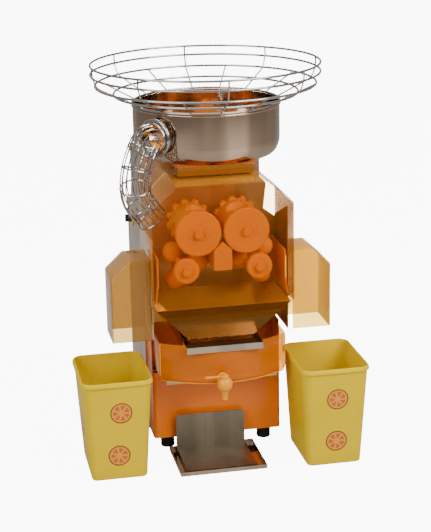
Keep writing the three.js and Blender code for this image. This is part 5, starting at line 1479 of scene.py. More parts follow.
        sketch = Sketch()
        for k in range(self.chute_rods):
            turn = 2 * math.pi * k / self.chute_rods
            sketch.wire([spot(i, turn) for i in range(steps + 1)], self.chute_wire, 8)
        sides = 48
        for h in range(self.chute_hoops):
            i = round(h * steps / (self.chute_hoops - 1))
            ring = [spot(i, 2 * math.pi * k / sides) for k in range(sides)]
            sketch.wire(ring, self.chute_hoop, 10, closed=True)
        present(sketch.piece("bent_wire_chute"), "chute", CHROME_WIRE, stands_for=["wire_chute"])


@dataclass
class Press:
    """Cup drums, ball rotors, shafts, knife and the steel chamber."""

    nodes: dict[str, bpy.types.Object]
    shift: float
    drum_x: float = 0.063
    drum_z: float = 0.635
    rotor_x: float = 0.096
    rotor_z: float = 0.537
    front: float = -0.192
    face_thick: float = 0.016
    face_radius: float = 0.060
    body_radius: float = 0.052
    cup_radius: float = 0.034
    cup_reach: float = 0.0595
    cup_start: float = math.radians(77.8)
    middle: float = -0.119
    lug_rear: float = -0.048
    lug_front: float = -0.062
    lug_count: int = 12
    lug_depth: float = 0.008
    lug_corner: float = 0.0015
    hub_radius: float = 0.024
    hub_rear: float = -0.015
    ball_radius: float = 0.027
    ball_reach: float = 0.042
    ball_start: float = math.radians(5)
    rotor_hub: float = 0.021
    rotor_cap: float = 0.034
    rotor_cap_thick: float = 0.014
    bore: float = 0.0083
    nut_radius: float = 0.013
    groove: float = 0.0007
    groove_floor: float = 0.001
    face_grooves: Point2 = (0.017, 0.026)
    face_edge: float = 0.004
    face_step: float = 0.0015
    back_edge: float = 0.002
    face_slope: float = 0.0004
    cap_slope: float = 0.0005
    cap_groove: float = 0.019
    cap_edge: float = 0.005
    arm_radius: float = 0.009
    stud_radius: float = 0.0079
    nut_sides: int = 12
    nut_waist: float = 0.86
    nut_corner: float = 0.002
    nut_gap: float = 0.0003
    shaft_edge: float = 0.001
    lap: float = 0.001

    def build(self) -> None:
        """Make and dress every piece of the press."""
        for side, sign in SIDES:
            self.make_cup_drum(side, sign)
            self.make_rotor(side, sign)
        for level in ("upper", "lower"):
            for side, _ in SIDES:
                self.make_nut(f"{level}_{side}")
                self.make_shaft(f"{level}_{side}")
                dress(self.nodes[f"bearing_{level}_{side}"], STEEL_SHEET)
                dress(self.nodes[f"gear_{level}_{side}"], GEAR_NYLON)
        for node in ("chamber_back_plate", "side_wall_left", "side_wall_right"):
            dress(self.nodes[node], LIT_CHAMBER_STEEL, FINE_EDGE)
        dress(self.nodes["juice_funnel"], FUNNEL_STEEL, FINE_EDGE)
        dress(self.nodes["knife_blade"], POLISHED_STEEL, FINE_EDGE)
        for node in ("knife_holder", "peel_guide_left", "peel_guide_right"):
            dress(self.nodes[node], PRESS_ORANGE, ROUND_EDGE)
        for node in ("gear_casing", "main_gearmotor"):
            dress(self.nodes[node], CAST_METAL, CAST_EDGE)

    def ball(self, name: str, radius: float, axis: Point2) -> bpy.types.Object:
        """Ball in the middle plane of the cups.

        Args:
            name: of the object.
            radius: of the ball.
            axis: X and Z of its centre.

        Returns:
            The ball.
        """
        profile = arc((0.0, 0.0), radius, -math.pi / 2, math.pi / 2, 24)
        place = Matrix.Translation((axis[0], self.middle, axis[1]))
        return Sketch().turned(profile, place, 48).piece(name)

    def thirds(self, axis: Point2, sign: int, start: float, reach: float) -> list[Point2]:
        """Three points about an axis, mirrored from side to side.

        Args:
            axis: X and Z of the axis.
            sign: -1 for the left side and 1 for the right.
            start: turn of the first point on the left side.
            reach: distance from the axis.

        Returns:
            The points.
        """
        points = []
        for k in range(3):
            turn = start + 2 * math.pi * k / 3
            turn = turn if sign < 0 else math.pi - turn
            points.append((axis[0] + reach * math.cos(turn), axis[1] + reach * math.sin(turn)))
        return points

    def ring_groove(self, radius: float, slope: float) -> list[Point2]:
        """Profile of a ring groove in the front face.

        Args:
            radius: of its inner edge.
            slope: width of each sloped side.

        Returns:
            Points of radius and Y, from the inner edge out.
        """
        front, floor = self.front, self.front + self.groove
        return [
            (radius, front),
            (radius + slope, floor),
            (radius + slope + self.groove_floor, floor),
            (radius + 2 * slope + self.groove_floor, front),
        ]

    def cut_bore(self, piece: bpy.types.Object, axis: Point2) -> None:
        """Cut the shaft's bore from end to end."""
        over = 0.01
        combine(piece, Cut.AWAY, turned_on_y("bore", rod(self.bore, self.front - over, over), axis, 48))

    def lug_disc(self, axis: Point2) -> bpy.types.Object:
        """Toothed disc behind a drum's cups.

        Args:
            axis: X and Z of the drum's axis.

        Returns:
            The disc.
        """
        root, crest = self.face_radius - self.lug_depth, self.face_radius
        step = 2 * math.pi / self.lug_count
        corners = []
        for k in range(self.lug_count):
            for turn, radius in ((0.0, root), (0.18, crest), (0.5, crest), (0.68, root)):
                angle = (k + turn) * step
                corners.append((axis[0] + radius * math.cos(angle), axis[1] + radius * math.sin(angle)))
        outline = rounded(corners, self.lug_corner, 3)
        return Sketch().prism(outline, self.lug_front, self.lug_rear, Along.Y).piece("lugs")

    def make_cup_drum(self, side: str, sign: int) -> None:
        """Drum with three cups, a stepped face and a toothed rear disc.

        Args:
            side: left or right.
            sign: -1 for the left side and 1 for the right.
        """
        axis = (self.shift + sign * self.drum_x, self.drum_z)
        front, radius, step = self.front, self.face_radius, self.face_step
        cup_front = front + self.face_thick
        core = rod(self.body_radius, cup_front + self.lap, self.lug_rear)
        body = turned_on_y(f"pressing_drum_{side}", core, axis)
        spots = self.thirds(axis, sign, self.cup_start, self.cup_reach)
        cups = [self.ball(f"cup_{k}", self.cup_radius, spot) for k, spot in enumerate(spots)]
        combine(body, Cut.AWAY, *cups)
        soften(body, ROUND_EDGE, 2, JOINED_EDGE_ANGLE)
        face = [(0.0, front)]
        for ring in self.face_grooves:
            face += self.ring_groove(ring, self.face_slope)
        face += edge_arc(radius, front, self.face_edge)
        face += [
            (radius, cup_front - step - 0.003),
            (radius - step, cup_front - step - 0.0025),
            (radius - step, cup_front - step),
            (radius - self.back_edge, cup_front),
            (0.0, cup_front),
        ]
        disc = turned_on_y("disc", face, axis, 128)
        hub = turned_on_y("hub", rod(self.hub_radius, self.lug_rear - 2 * self.lap, self.hub_rear), axis)
        combine(body, Cut.JOIN, disc, self.lug_disc(axis), hub)
        self.cut_bore(body, axis)
        present(body, f"upper_{side}", PRESS_ORANGE, stands_for=[f"cup_drum_{side}"])

    def make_rotor(self, side: str, sign: int) -> None:
        """Rotor with three balls on stout arms and a rounded cap.

        Args:
            side: left or right.
            sign: -1 for the left side and 1 for the right.
        """
        axis = (self.shift + sign * self.rotor_x, self.rotor_z)
        front, radius = self.front, self.rotor_cap
        cup_front, cap_rear = front + self.face_thick, front + self.rotor_cap_thick
        core = rod(self.rotor_hub, cup_front - self.lap, self.hub_rear)
        hub = turned_on_y(f"ball_rotor_body_{side}", core, axis)
        parts = []
        for k, spot in enumerate(self.thirds(axis, sign, self.ball_start, self.ball_reach)):
            parts.append(self.ball(f"ball_{k}", self.ball_radius, spot))
            between = ((axis[0] + spot[0]) / 2, (axis[1] + spot[1]) / 2)
            arm = rod(self.arm_radius, cup_front, self.lug_front)
            parts.append(turned_on_y(f"arm_{k}", arm, between, 48))
        cap = [
            (0.0, front),
            *self.ring_groove(self.cap_groove, self.cap_slope),
            *edge_arc(radius, front, self.cap_edge),
            (radius, cap_rear - self.back_edge),
            (radius - self.back_edge, cap_rear),
            (0.0, cap_rear),
        ]
        parts.append(turned_on_y("cap", cap, axis))
        combine(hub, Cut.JOIN, *parts)
        self.cut_bore(hub, axis)
        soften(hub, CAST_EDGE, 3, JOINED_EDGE_ANGLE)
        present(hub, f"lower_{side}", PRESS_ORANGE, stands_for=[f"ball_rotor_{side}"])

    def make_nut(self, corner: str) -> None:
        """Hand nut with a grooved rim.

        Args:
            corner: level and side of the shaft, as in upper_left.
        """
        node = f"hand_nut_{corner}"
        box = Extent.of(node)
        x, z = box.middle.x, box.middle.z
        back, front = self.front - self.nut_gap, box.low.y
        corners = []
        for k in range(self.nut_sides):
            turn = 2 * math.pi * k / self.nut_sides
            reach = self.nut_radius if k % 2 == 0 else self.nut_waist * self.nut_radius
            corners.append((x + reach * math.cos(turn), z + reach * math.sin(turn)))
        outline = rounded(corners, self.nut_corner, 4)
        grip = Sketch().prism(outline, front, back, Along.Y, CAST_EDGE).piece(f"{node}_grip")
        stud = turned_on_y("stud", rod(self.stud_radius, back - self.lap, box.high.y), (x, z), 48)
        combine(grip, Cut.JOIN, stud)
        present(grip, corner, PRESS_ORANGE, stands_for=[node])

    def make_shaft(self, corner: str) -> None:
        """Ground steel shaft with chamfered ends.

        Args:
            corner: level and side of the shaft, as in upper_left.
        """
        node = f"shaft_{corner}"
        box = Extent.of(node)
        radius, low, high, edge = box.size.z / 2, box.low.y, box.high.y, self.shaft_edge
        profile = [
            (0.0, low),
            (radius - edge, low),
            (radius, low + edge),
            (radius, high - edge),
            (radius - edge, high),
            (0.0, high),
        ]
        shaft = turned_on_y(f"ground_{node}", profile, (box.middle.x, box.middle.z), 48)
        present(shaft, corner, POLISHED_STEEL, stands_for=[node])


@dataclass
class Covers:
    """Amber front cover and the two peel chutes."""

    shift: float
    half: float = 0.186
    top_half: float = 0.118
    shoulder: float = 0.704
    top: float = 0.765
    sill: float = 0.441
    corner: float = 0.012
    tongue_level: float = 0.405
    tongue_half: float = 0.160
    tongue_corner: float = 0.02
    tongue_lap: float = 0.002
    reach: float = 0.206
    rear: float = -0.0003
    wall: float = 0.003
    notch_level: float = 0.626
    window_top: float = 0.560
    window_far: float = -0.135
    window_near: float = -0.045
    edge: float = 0.007
    lip: float = 0.0007
    chute_gap: float = 0.001
    chute_out: float = 0.291
    chute_crest: float = 0.245
    chute_shoulder: float = 0.525
    chute_front: float = -0.175
    chute_rear: float = -0.055
    chute_corner: float = 0.008
    chute_edge: float = 0.005
    tab_low: float = 0.480
    tab_high: float = 0.526
    tab_reach: float = 0.024
    slot_radius: float = 0.0053
    slot_y: float = 0.013
    slot_z: float = 0.505
    over: float = 0.02

    def build(self) -> None:
        """Make and dress the cover and both chutes."""
        self.make_cover()
        for side, sign in SIDES:
            self.make_peel_chute(side, sign)

    def outline(self, inset: float, low: float) -> list[Point2]:
        """Arched outline of the cover, seen from the front.

        Args:
            inset: how far it is drawn in.
            low: level of its open lower edge.

        Returns:
            Its points.
        """
        half, top_half = self.half - inset, self.top_half - inset / 2
        shoulder, top = self.shoulder - inset / 2, self.top - inset
        right = [(half, low), (half, shoulder), (top_half, top)]
        corners = right + [(-a, b) for a, b in reversed(right)]
        corners = [(a + self.shift, b) for a, b in corners]
        radius = self.corner - inset
        return rounded(corners, [0.0, radius, radius, radius, radius, 0.0], 6)

    def cutter(self, name: str, half: float, low: Point2, high: Point2) -> bpy.types.Object:
        """Box across the cover, which takes part of it away.

        Args:
            name: of the box.
            half: half of its width.
            low: its lowest Y and Z.
            high: its highest Y and Z.

        Returns:
            The box.
        """
        return Sketch().block((self.shift - half, *low), (self.shift + half, *high)).piece(name)

    def tongue(self) -> bpy.types.Object:
        """Sheet that hangs from the front of the cover.

        Returns:
            The solid.
        """
        s, low = self.shift, self.sill + self.tongue_lap
        upper, lower = self.half - self.edge, self.tongue_half
        corners = [
            (s - upper, low),
            (s - lower, self.tongue_level),
            (s + lower, self.tongue_level),
            (s + upper, low),
        ]
        outline = rounded(corners, [0.0, self.tongue_corner, self.tongue_corner, 0.0], 8)
        return Sketch().prism(outline, -self.reach, -self.reach + self.wall, Along.Y).piece("tongue")

    def make_cover(self) -> None:
        """Blown cover with rounded edges, an open upper left corner and windows beside the chutes."""
        over, low, wide = self.over, self.sill, 0.3
        front, inside = -self.reach, -self.reach + self.wall
        beyond = self.half + over
        outer = Sketch().prism(self.outline(0.0, low - over), front, self.rear + over, Along.Y, self.edge)
        cover = outer.piece("clear_front_cover")
        inner = Sketch().prism(
            self.outline(self.wall, low - 2 * over),
            inside,
            self.rear + 2 * over,
            Along.Y,
            self.edge - self.wall,
        ).piece("inner")
        below = self.cutter("below", wide, (front - 0.1, low - 3 * over), (0.2, low))
        behind = self.cutter("behind", wide, (self.rear, low - 0.1), (0.2, self.top + 0.1))
        notch = Sketch().block(
            (self.shift - beyond, inside, self.notch_level),
            (self.shift - self.top_half, 0.1, self.top + over),
        ).piece("notch")
        windows = self.cutter(
            "windows", beyond, (self.window_far, low - over), (self.window_near, self.window_top)
        )
        combine(cover, Cut.AWAY, inner, below, behind, notch, windows)
        combine(cover, Cut.JOIN, self.tongue())
        soften(cover, self.lip)
        present(cover, "cover", AMBER_COVER, stands_for=["front_cover"])

    def chute_outline(self, box: Extent, sign: int, inset: float, drop: float) -> list[Point2]:
        """Outline of a chute seen from the front.

        Args:
            box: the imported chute's box.
            sign: -1 for the left chute and 1 for the right.
            inset: how far the outline is drawn in.
            drop: how far it reaches below and inside the chute.

        Returns:
            Its points.
        """
        inside, out = self.half + self.chute_gap - drop, self.chute_out - inset
        bottom, top = box.low.z - drop, box.high.z - inset
        corners = [
            (inside, bottom),
            (out, bottom),
            (out, self.chute_shoulder - inset / 2),
            (self.chute_crest - inset / 2, top),
            (inside, top),
        ]
        corners = [(self.shift + sign * a, b) for a, b in corners]
        radius = self.chute_corner - inset
        return rounded(corners, [0.0, 0.0, radius, radius, 0.0], 5)

    def make_peel_chute(self, side: str, sign: int) -> None:
        """Moulded chute with a sloped top, open below and on its inner side.

        Args:
            side: left or right.
            sign: -1 for the left side and 1 for the right.
        """
        node = f"peel_chute_{side}"
        box = Extent.of(node)
        wall, over, edge = self.wall, self.over, self.chute_edge
        front, rear = self.chute_front, self.chute_rear
        outline = self.chute_outline(box, sign, 0.0, 0.0)
        chute = Sketch().prism(outline, front, rear, Along.Y, edge).piece(f"clear_{node}")
        outline = self.chute_outline(box, sign, wall, over)
        inner = Sketch().prism(outline, front + wall, rear - wall, Along.Y, edge - wall).piece("inner")
        combine(chute, Cut.AWAY, inner)
        near = self.half + self.chute_gap
        low_x, high_x = sorted((self.shift + sign * near, self.shift + sign * (near + wall)))
        tab = Sketch().block((low_x, rear - wall, self.tab_low), (high_x, self.tab_reach, self.tab_high))
        combine(chute, Cut.JOIN, tab.piece("tab"))
        slot, bottom = self.slot_radius, self.tab_low - over
        opening = [
            (self.slot_y - slot, bottom),
            (self.slot_y + slot, bottom),
            *arc((self.slot_y, self.slot_z), slot, 0.0, math.pi, 12),
        ]
        cutter = Sketch().prism(opening, low_x - over / 10, high_x + over / 10, Along.X).piece("slot")
        combine(chute, Cut.AWAY, cutter)
        soften(chute, self.lip)
        # The left chute gets the darker copy of the amber: painted shade.
        finish = SHADED_AMBER_CHUTE if sign < 0 else AMBER_CHUTE
        present(chute, f"{side}_peel_chute", finish, stands_for=[node])


@dataclass
class JuiceTank:
    """Bellied tank, strainer tray, tap and lever."""

    nodes: dict[str, bpy.types.Object]
    shift: float
    half: float = 0.170
    rear: float = -0.012
    corner_y: float = -0.165
    belly_y: float = -0.225
    wall: float = 0.003
    floor_round: float = 0.020
    tap_x: float = -0.014
    tap_z: float = 0.252
    tap_y: float = -0.252
    barrel: float = 0.011
    bowl: float = 0.020
    spout_low: float = 0.203
    lever_length: float = 0.048
    highlight_bead: float = 0.0016
    corner_steps: int = 5
    rear_corner: float = 0.008
    front_corner: float = 0.016
    front_steps: int = 28
    rim_edge: float = 0.0008
    strainer_edge: float = 0.0005
    highlight_bead_drop: float = 0.002
    spout_radius: float = 0.008
    spout_edge: float = 0.0005
    throat: float = 0.0105
    tap_edge: float = 0.002
    tap_gap: float = 0.0003
    neck_flange: float = 0.016
    neck_reach: float = 0.012
    lever_thick: float = 0.007
    lever_half: float = 0.0045
    lever_waist: float = 0.0034

    def __post_init__(self) -> None:
        """Read the tank's box from the frame and find the axis of the tap."""
        self.box = Extent.of("juice_tank")
        self.tap = (self.shift + self.tap_x, self.tap_y)

    def build(self) -> None:
        """Make and dress the tank's pieces."""
        self.make_tank()
        self.make_highlight_bead()
        self.make_tap()
        self.make_lever()
        dress(self.nodes["strainer_tray"], POLISHED_STEEL, self.strainer_edge)

    def plan(self, inset: float) -> list[Point2]:
        """Plan of the tank with its bowed front.

        Args:
            inset: how far it is drawn in.

        Returns:
            Its points.
        """
        half, rear = self.half - inset, self.rear - inset
        steps = self.front_steps
        front = []
        for k in range(steps + 1):
            share = k / steps
            bow = 4 * share * (1 - share)
            depth = self.belly_y - self.corner_y + inset / 2
            front.append((-half + 2 * half * share, self.corner_y + inset / 2 + depth * bow))
        corners = [(half, rear), (-half, rear), *front]
        radii = [self.rear_corner] * 2 + [self.front_corner, *[0.0] * (steps - 1), self.front_corner]
        return [(x + self.shift, y) for x, y in rounded(corners, radii, self.corner_steps)]

    def body(self, name: str, inset: float, low: float, top: float) -> bpy.types.Object:
        """One solid with the tank's plan and rounded lower edges.

        Args:
            name: of the object.
            inset: how far its plan is drawn in.
            low: level of its underside.
            top: level of its top.

        Returns:
            The solid.
        """
        plan = self.plan(inset)
        rings = []
        for shrink, rise in rounding(self.floor_round - inset, 6):
            rings.append([Vector((x, y, low + rise)) for x, y in drawn_in(plan, shrink)])
        rings.append([Vector((x, y, top)) for x, y in plan])
        return Sketch().skin(rings).piece(name)

    def make_tank(self) -> None:
        """Open tank with rounded edges and the tap's hole."""
        low, top = self.box.low.z, self.box.high.z
        tank = self.body("clear_juice_tank", 0.0, low, top)
        inner = self.body("inner", self.wall, low + self.wall, top + 0.02)
        through = rod(self.barrel + self.tap_gap, -0.26, -0.16)
        centre = Matrix.Translation((self.tap[0], 0.0, self.tap_z))
        place = centre @ Matrix.Rotation(-math.pi / 2, 4, "X")
        hole = Sketch().turned(through, place, 48).piece("hole")
        combine(tank, Cut.AWAY, inner, hole)
        soften(tank, self.rim_edge)
        present(tank, "tank", AMBER_TANK, stands_for=["juice_tank"])

    def make_highlight_bead(self) -> None:
        """Orange bead along the lower front edge and up both front corners: a painted highlight of the
        tank's rounded edge, made as a solid piece.
        """
        low, top = self.box.low.z, self.box.high.z - self.highlight_bead_drop
        inset, shoulder = 0.27 * self.floor_round, low + 1.2 * self.floor_round
        plan = self.plan(0.0)
        corner_points = self.corner_steps + 1
        first = 2 * corner_points + corner_points // 2
        last = len(plan) - 1 - corner_points // 2
        edge = drawn_in(plan, inset)[first:last + 1]
        path = [
            Vector((*plan[first], top)),
            Vector((*plan[first], shoulder)),
            *[Vector((x, y, low + inset)) for x, y in edge],
            Vector((*plan[last], shoulder)),
            Vector((*plan[last], top)),
        ]
        highlight_bead = Sketch().wire(evenly(path, 160), self.highlight_bead, 8).piece("tank_highlight_bead")
        present(highlight_bead, "tank", TAP_ORANGE)

    def make_tap(self) -> None:
        """Tap with a bulging bowl and a short spout."""
        x, y, z = (*self.tap, self.tap_z)
        barrel, bowl, spout, bore = self.barrel, self.bowl, self.spout_low, self.spout_radius
        top, edge = z + barrel, self.tap_edge
        profile = [
            (0.0, spout),
            (bore - self.spout_edge, spout),
            (bore, spout + self.spout_edge),
            (bore, z - 1.6 * bowl),
            (self.throat, z - 1.42 * bowl),
        ]
        for k in range(9):
            turn = math.pi * (-0.36 + 0.66 * k / 8)
            profile.append((bowl * math.cos(turn) ** 0.8, z - 0.35 * bowl + 1.02 * bowl * math.sin(turn)))
        profile += [(barrel, top - edge), (barrel - edge, top), (0.0, top)]
        tap = Sketch().turned(profile, Matrix.Translation((x, y, 0.0)), 64).piece("moulded_tap")
        flange, face, end = self.neck_flange, self.belly_y - self.tap_gap, self.belly_y + self.neck_reach
        neck_profile = [
            (0.0, y),
            (barrel, y),
            (barrel, face - 0.006),
            (flange, face - 0.005),
            (flange, face),
            (barrel, face),
            (barrel, end),
            (0.0, end),
        ]
        combine(tap, Cut.JOIN, turned_on_y("neck", neck_profile, (x, z), 48))
        soften(tap, SHEET_EDGE, 2, JOINED_EDGE_ANGLE)
        present(tap, "tank", TAP_ORANGE, stands_for=["tap_body"])

    def make_lever(self) -> None:
        """Lever with a round hub, a waisted arm and a rounded tip."""
        box = Extent.of("tap_lever")
        x, y = self.tap
        low, top, cap = box.low.z, box.low.z + self.lever_thick, box.high.z
        half, waist, lap = self.lever_half, self.lever_waist, 0.001
        tip_x = x - self.lever_length
        lower = [
            (tip_x - half, y - half),
            (tip_x + 0.006, y - half),
            (tip_x + 0.02, y - waist),
            (x, y - half),
        ]
        arm = lower + [(a, 2 * y - b) for a, b in reversed(lower)]
        radii = [half * 0.95, 0.01, 0.02, 0.0]
        outline = rounded(arm, radii + radii[::-1], 6)
        lever = Sketch().prism(outline, low + lap, top - lap, Along.Z, ROUND_EDGE).piece("tap_lever_arm")
        radius, edge = self.barrel, 0.0015
        profile = [
            (0.0, low),
            (radius, low),
            (radius, top - edge),
            (radius - edge, top),
            (0.005, top + 0.0005),
            (0.0045, cap - 0.001),
            (0.0035, cap),
            (0.0, cap),
        ]
        hub = Sketch().turned(profile, Matrix.Translation((x, y, 0.0)), 48).piece("hub")
        combine(lever, Cut.JOIN, hub)
        present(lever, "lever", TAP_ORANGE, stands_for=["tap_lever"])


@dataclass
class DripStation:
    """Polished drip tray with the brushed splash plate."""

    nodes: dict[str, bpy.types.Object]
    plate_edge: float = 0.0008

    def build(self) -> None:
        """Dress the tray and the plate."""
        dress(self.nodes["drip_tray"], POLISHED_STEEL)
        dress(self.nodes["splash_plate"], BRUSHED_PLATE, self.plate_edge)


@dataclass
class PeelBin:
    """Tapered bin with a rolled rim and printed citrus roundels."""

    side: str
    roundels: Sequence[tuple[Point3, Point3]]
    foot_width: float = 0.147
    foot_depth: float = 0.197
    foot_edge: float = 0.005
    rim_proud: float = 0.005
    rim_height: float = 0.012
    rim_step: float = 0.001
    rim_curl: float = 0.0045
    wall: float = 0.0025
    corner: float = 0.026
    foot_corner: float = 0.6 * 0.026
    wall_steps: int = 6
    roundel_radius: float = 0.029
    roundel_thick: float = 0.0004
    rind_share: float = 0.88
    segments: int = 7
    segment_reach: Point2 = (0.18, 0.74)
    segment_span: Point2 = (0.14, 0.86)

    def __post_init__(self) -> None:
        """Read the bin's box from the frame."""
        self.node = f"bin_{self.side}"
        self.box = Extent.of(self.node)

    def build(self) -> None:
        """Make the bin and its roundels."""
        self.make_bin()
        for number, (spot, facing) in enumerate(self.roundels):
            self.make_roundel(number, spot, facing)

    def ring(self, width: float, depth: float, radius: float, level: float) -> list[Vector]:
        """Level ring with rounded corners about the bin's axis.

        Args:
            width: of the ring along X.
            depth: of the ring along Y.
            radius: of its corners.
            level: its height.

        Returns:
            Its points.
        """
        half_x, half_y = width / 2, depth / 2
        corners = [(half_x, half_y), (-half_x, half_y), (-half_x, -half_y), (half_x, -half_y)]
        middle = self.box.middle
        return [Vector((middle.x + x, middle.y + y, level)) for x, y in rounded(corners, radius, 10)]

    def between(self, low: Sequence[float], high: Sequence[float], share: float) -> list[Vector]:
        """Ring between two others, each given by its width, depth, corner radius and level."""
        return self.ring(*[a + (b - a) * share for a, b in zip(low, high)])

    def rim(self, width: float, depth: float, neck: float) -> list[list[Vector]]:
        """Rings of the turned-over rim, from the neck up.

        Args:
            width: of the neck.
            depth: of the neck.
            neck: its level.

        Returns:
            The rings.
        """
        steps, proud, step = 4, self.rim_proud, self.rim_step
        sizes = []
        for k in range(steps):
            sizes.append((proud * math.sin(math.pi / 4 * k / steps), neck + step * k / steps))
        for k in range(steps + 1):
            curl = math.pi / 2 * k / steps
            out = proud - self.rim_curl * (1 - math.cos(curl))
            sizes.append((out, neck + step + (self.rim_height - step) * math.sin(curl)))
        return [
            self.ring(width + 2 * out, depth + 2 * out, self.corner + out, level)
            for out, level in sizes
        ]

    def make_bin(self) -> None:
        """Tapered shell with a turned-over rim."""
        box, wall, corner, foot_corner = self.box, self.wall, self.corner, self.foot_corner
        foot_width, foot_depth, steps = self.foot_width, self.foot_depth, self.wall_steps
        top = box.high.z
        neck = top - self.rim_height
        width, depth = box.size.x - 2 * self.rim_proud, box.size.y - 2 * self.rim_proud
        neck_width = foot_width + (width - foot_width) * neck / top
        neck_depth = foot_depth + (depth - foot_depth) * neck / top
        rings = []
        for shrink, rise in rounding(self.foot_edge, 3):
            size = (foot_width - 2 * shrink, foot_depth - 2 * shrink)
            rings.append(self.ring(*size, foot_corner - shrink, rise))
        outer_foot = (foot_width, foot_depth, foot_corner, 0.0)
        outer_neck = (neck_width, neck_depth, corner, neck)
        rings += [self.between(outer_foot, outer_neck, k / steps) for k in range(1, steps + 1)]
        rings += self.rim(neck_width, neck_depth, neck)
        inner_width, inner_depth = width - 2 * wall, depth - 2 * wall
        rings.append(self.ring(inner_width + 0.002, inner_depth + 0.002, corner - wall, top - 0.0006))
        rings.append(self.ring(inner_width, inner_depth, corner - wall, top - 0.003))
        inner_foot = (foot_width - 2 * wall, foot_depth - 2 * wall, foot_corner - wall, wall)
        inner_neck = (inner_width, inner_depth, corner - wall, neck)
        for k in range(steps - 1, -1, -1):
            rings.append(self.between(inner_foot, inner_neck, max(k / steps, 0.02)))
        shell = Sketch().skin(rings).piece(f"moulded_{self.node}")
        present(shell, f"{self.side}_bin", BIN_YELLOW, stands_for=[self.node])

    def make_roundel(self, number: int, spot: Point3, facing: Point3) -> None:
        """Printed citrus slice: rind, pith and wedges.

        Args:
            number: of the roundel on this bin.
            spot: its centre.
            facing: away from the bin's wall.
        """
        place = facing_place(spot, facing)
        radius, thick = self.roundel_radius, self.roundel_thick
        inner = radius * self.rind_share
        rind = [(inner, 0.0), (radius, 0.0), (radius, thick * 0.8), (radius * 0.985, thick), (inner, thick)]
        pith = rod(inner + radius * 0.01, 0.0, thick * 0.9)
        sketch = Sketch().turned(rind, place, 64, closed=True, slot=0).turned(pith, place, 64, slot=1)
        span = 2 * math.pi / self.segments
        near, far = self.segment_reach
        first, last = self.segment_span
        for k in range(self.segments):
            start = span * k
            turn, tip = start + span / 2, radius * near
            corners = [(tip * math.cos(turn), tip * math.sin(turn))]
            corners += arc((0.0, 0.0), radius * far, start + span * first, start + span * last, 4)
            flat = rounded(corners, 0.0012, 3)
            levels = (thick * 0.5, thick * 1.05)
            rings = [[place @ Vector((a, b, level)) for a, b in flat] for level in levels]
            sketch.skin(rings, slot=2)
        label = sketch.piece(f"roundel_{self.side}_{number}")
        present(label, f"{self.side}_bin", RIND_INK, PITH_INK, PULP_INK)


# Studio


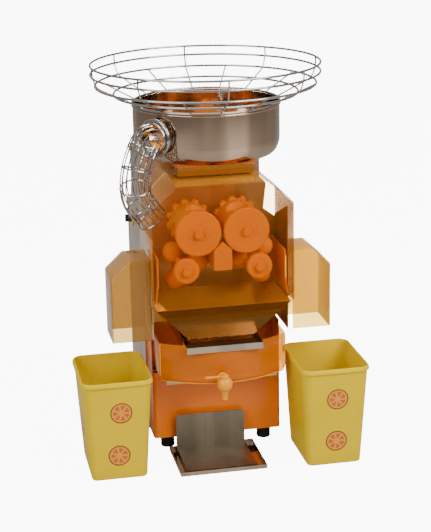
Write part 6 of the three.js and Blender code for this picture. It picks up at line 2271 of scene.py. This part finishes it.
@dataclass
class Studio:
    """Camera, floor and soft lights."""

    shift: float
    eye: Point3 = (-0.7407, -3.7892, 1.6483)
    aim: Point3 = (0.02948, 0.0606, 0.46988)
    roll: float = math.radians(-1.09)
    focal_px: float = 1491.93
    photo_height_px: float = 532.0
    sensor: float = 36.0
    floor_half: float = 40.0
    floor_glow: float = 9.5
    clip_end: float = 200.0
    floor_level: float = -0.0005
    world_strength: float = 0.5
    world_colour: Colour = (1.0, 0.95, 0.89)
    lamp_aim: Point3 = (0.0, 0.0, 0.55)

    def make_camera(self) -> None:
        """Camera at the photograph's place."""
        data = bpy.data.cameras.new("camera")
        camera = bpy.data.objects.new("camera", data)
        bpy.context.scene.collection.objects.link(camera)
        eye = Vector(self.eye) + Vector((self.shift, 0, 0))
        aim = Vector(self.aim) + Vector((self.shift, 0, 0))
        forward = (aim - eye).normalized()
        level = forward.cross(Vector((0, 0, 1))).normalized()
        upright = level.cross(forward)
        right = level * math.cos(self.roll) + upright * math.sin(self.roll)
        up = upright * math.cos(self.roll) - level * math.sin(self.roll)
        rotation = Matrix((right, up, -forward)).transposed().to_4x4()
        camera.matrix_world = Matrix.Translation(eye) @ rotation
        data.sensor_fit = "AUTO"
        data.sensor_width = self.sensor
        data.lens = self.focal_px / self.photo_height_px * self.sensor
        data.clip_end = self.clip_end
        bpy.context.scene.camera = camera

    def make_floor(self) -> None:
        """Plain pale floor."""
        half = self.floor_half
        corners = ((-half, -half), (half, -half), (half, half), (-half, half))
        sketch = Sketch()
        sketch.mesh.faces.new([sketch.mesh.verts.new((x, y, self.floor_level)) for x, y in corners])
        floor = sketch.piece("floor")
        graph = Graph(bpy.data.materials.new("pale_floor"))
        mottle = graph.noise(graph.place(), 2.0)
        floor.data.materials.append(graph.finish(graph.surface({
            "Base Color": graph.blend(mottle, (0.42, 0.42, 0.42), (0.46, 0.46, 0.46)),
            "Roughness": 0.7,
            "Emission Color": graph.blend(graph.camera_ray(), BLACK, WHITE),
            "Emission Strength": self.floor_glow,
        })))

    def make_lights(self) -> None:
        """World light and three soft boxes."""
        world = bpy.data.worlds.new("studio")
        bpy.context.scene.world = world
        graph = Graph(world)
        kind = "ShaderNodeBackground"
        light = graph.node(kind, {}, {"Color": self.world_colour, "Strength": self.world_strength})[0]
        backdrop = graph.node(kind, {}, {"Color": WHITE, "Strength": self.floor_glow})[0]
        graph.finish(graph.mixed(graph.camera_ray(), light, backdrop))
        lamps = (
            ("key", (1.9, -2.6, 2.9), 2.2, 170.0),
            ("fill", (-2.8, -2.2, 2.0), 2.4, 85.0),
            ("top", (0.2, 0.6, 3.4), 2.6, 55.0),
        )
        for name, spot, size, power in lamps:
            data = bpy.data.lights.new(name, "AREA")
            data.shape = "SQUARE"
            data.size = size
            data.energy = power
            lamp = bpy.data.objects.new(name, data)
            bpy.context.scene.collection.objects.link(lamp)
            lamp.matrix_world = facing_place(spot, Vector(spot) - Vector(self.lamp_aim))


def main() -> None:
    """Build the studio and every sub-assembly in order."""
    logging.basicConfig(level=logging.INFO, format="%(name)s: %(message)s")
    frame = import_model()
    nodes = frame["nodes"]
    shift = Extent.of("feed_drum").middle.x
    studio = Studio(shift)
    studio.make_camera()
    studio.make_floor()
    studio.make_lights()
    Cabinet(nodes).build()
    FeedUnit(nodes).build()
    Press(nodes, shift).build()
    Covers(shift).build()
    JuiceTank(nodes, shift).build()
    DripStation(nodes).build()
    bin_front, bin_side = (0.0, -1.0, -0.06), (-1.0, 0.0, -0.06)
    PeelBin("left", [
        ((-0.286 + shift, -0.2476, 0.189), bin_front),
        ((-0.294 + shift, -0.2406, 0.069), bin_front),
        ((-0.373 + shift, -0.109, 0.112), bin_side),
    ]).build()
    PeelBin("right", [
        ((0.278 + shift, -0.2906, 0.189), bin_front),
        ((0.277 + shift, -0.2836, 0.069), bin_front),
    ]).build()


if __name__ == "__main__":
    main()
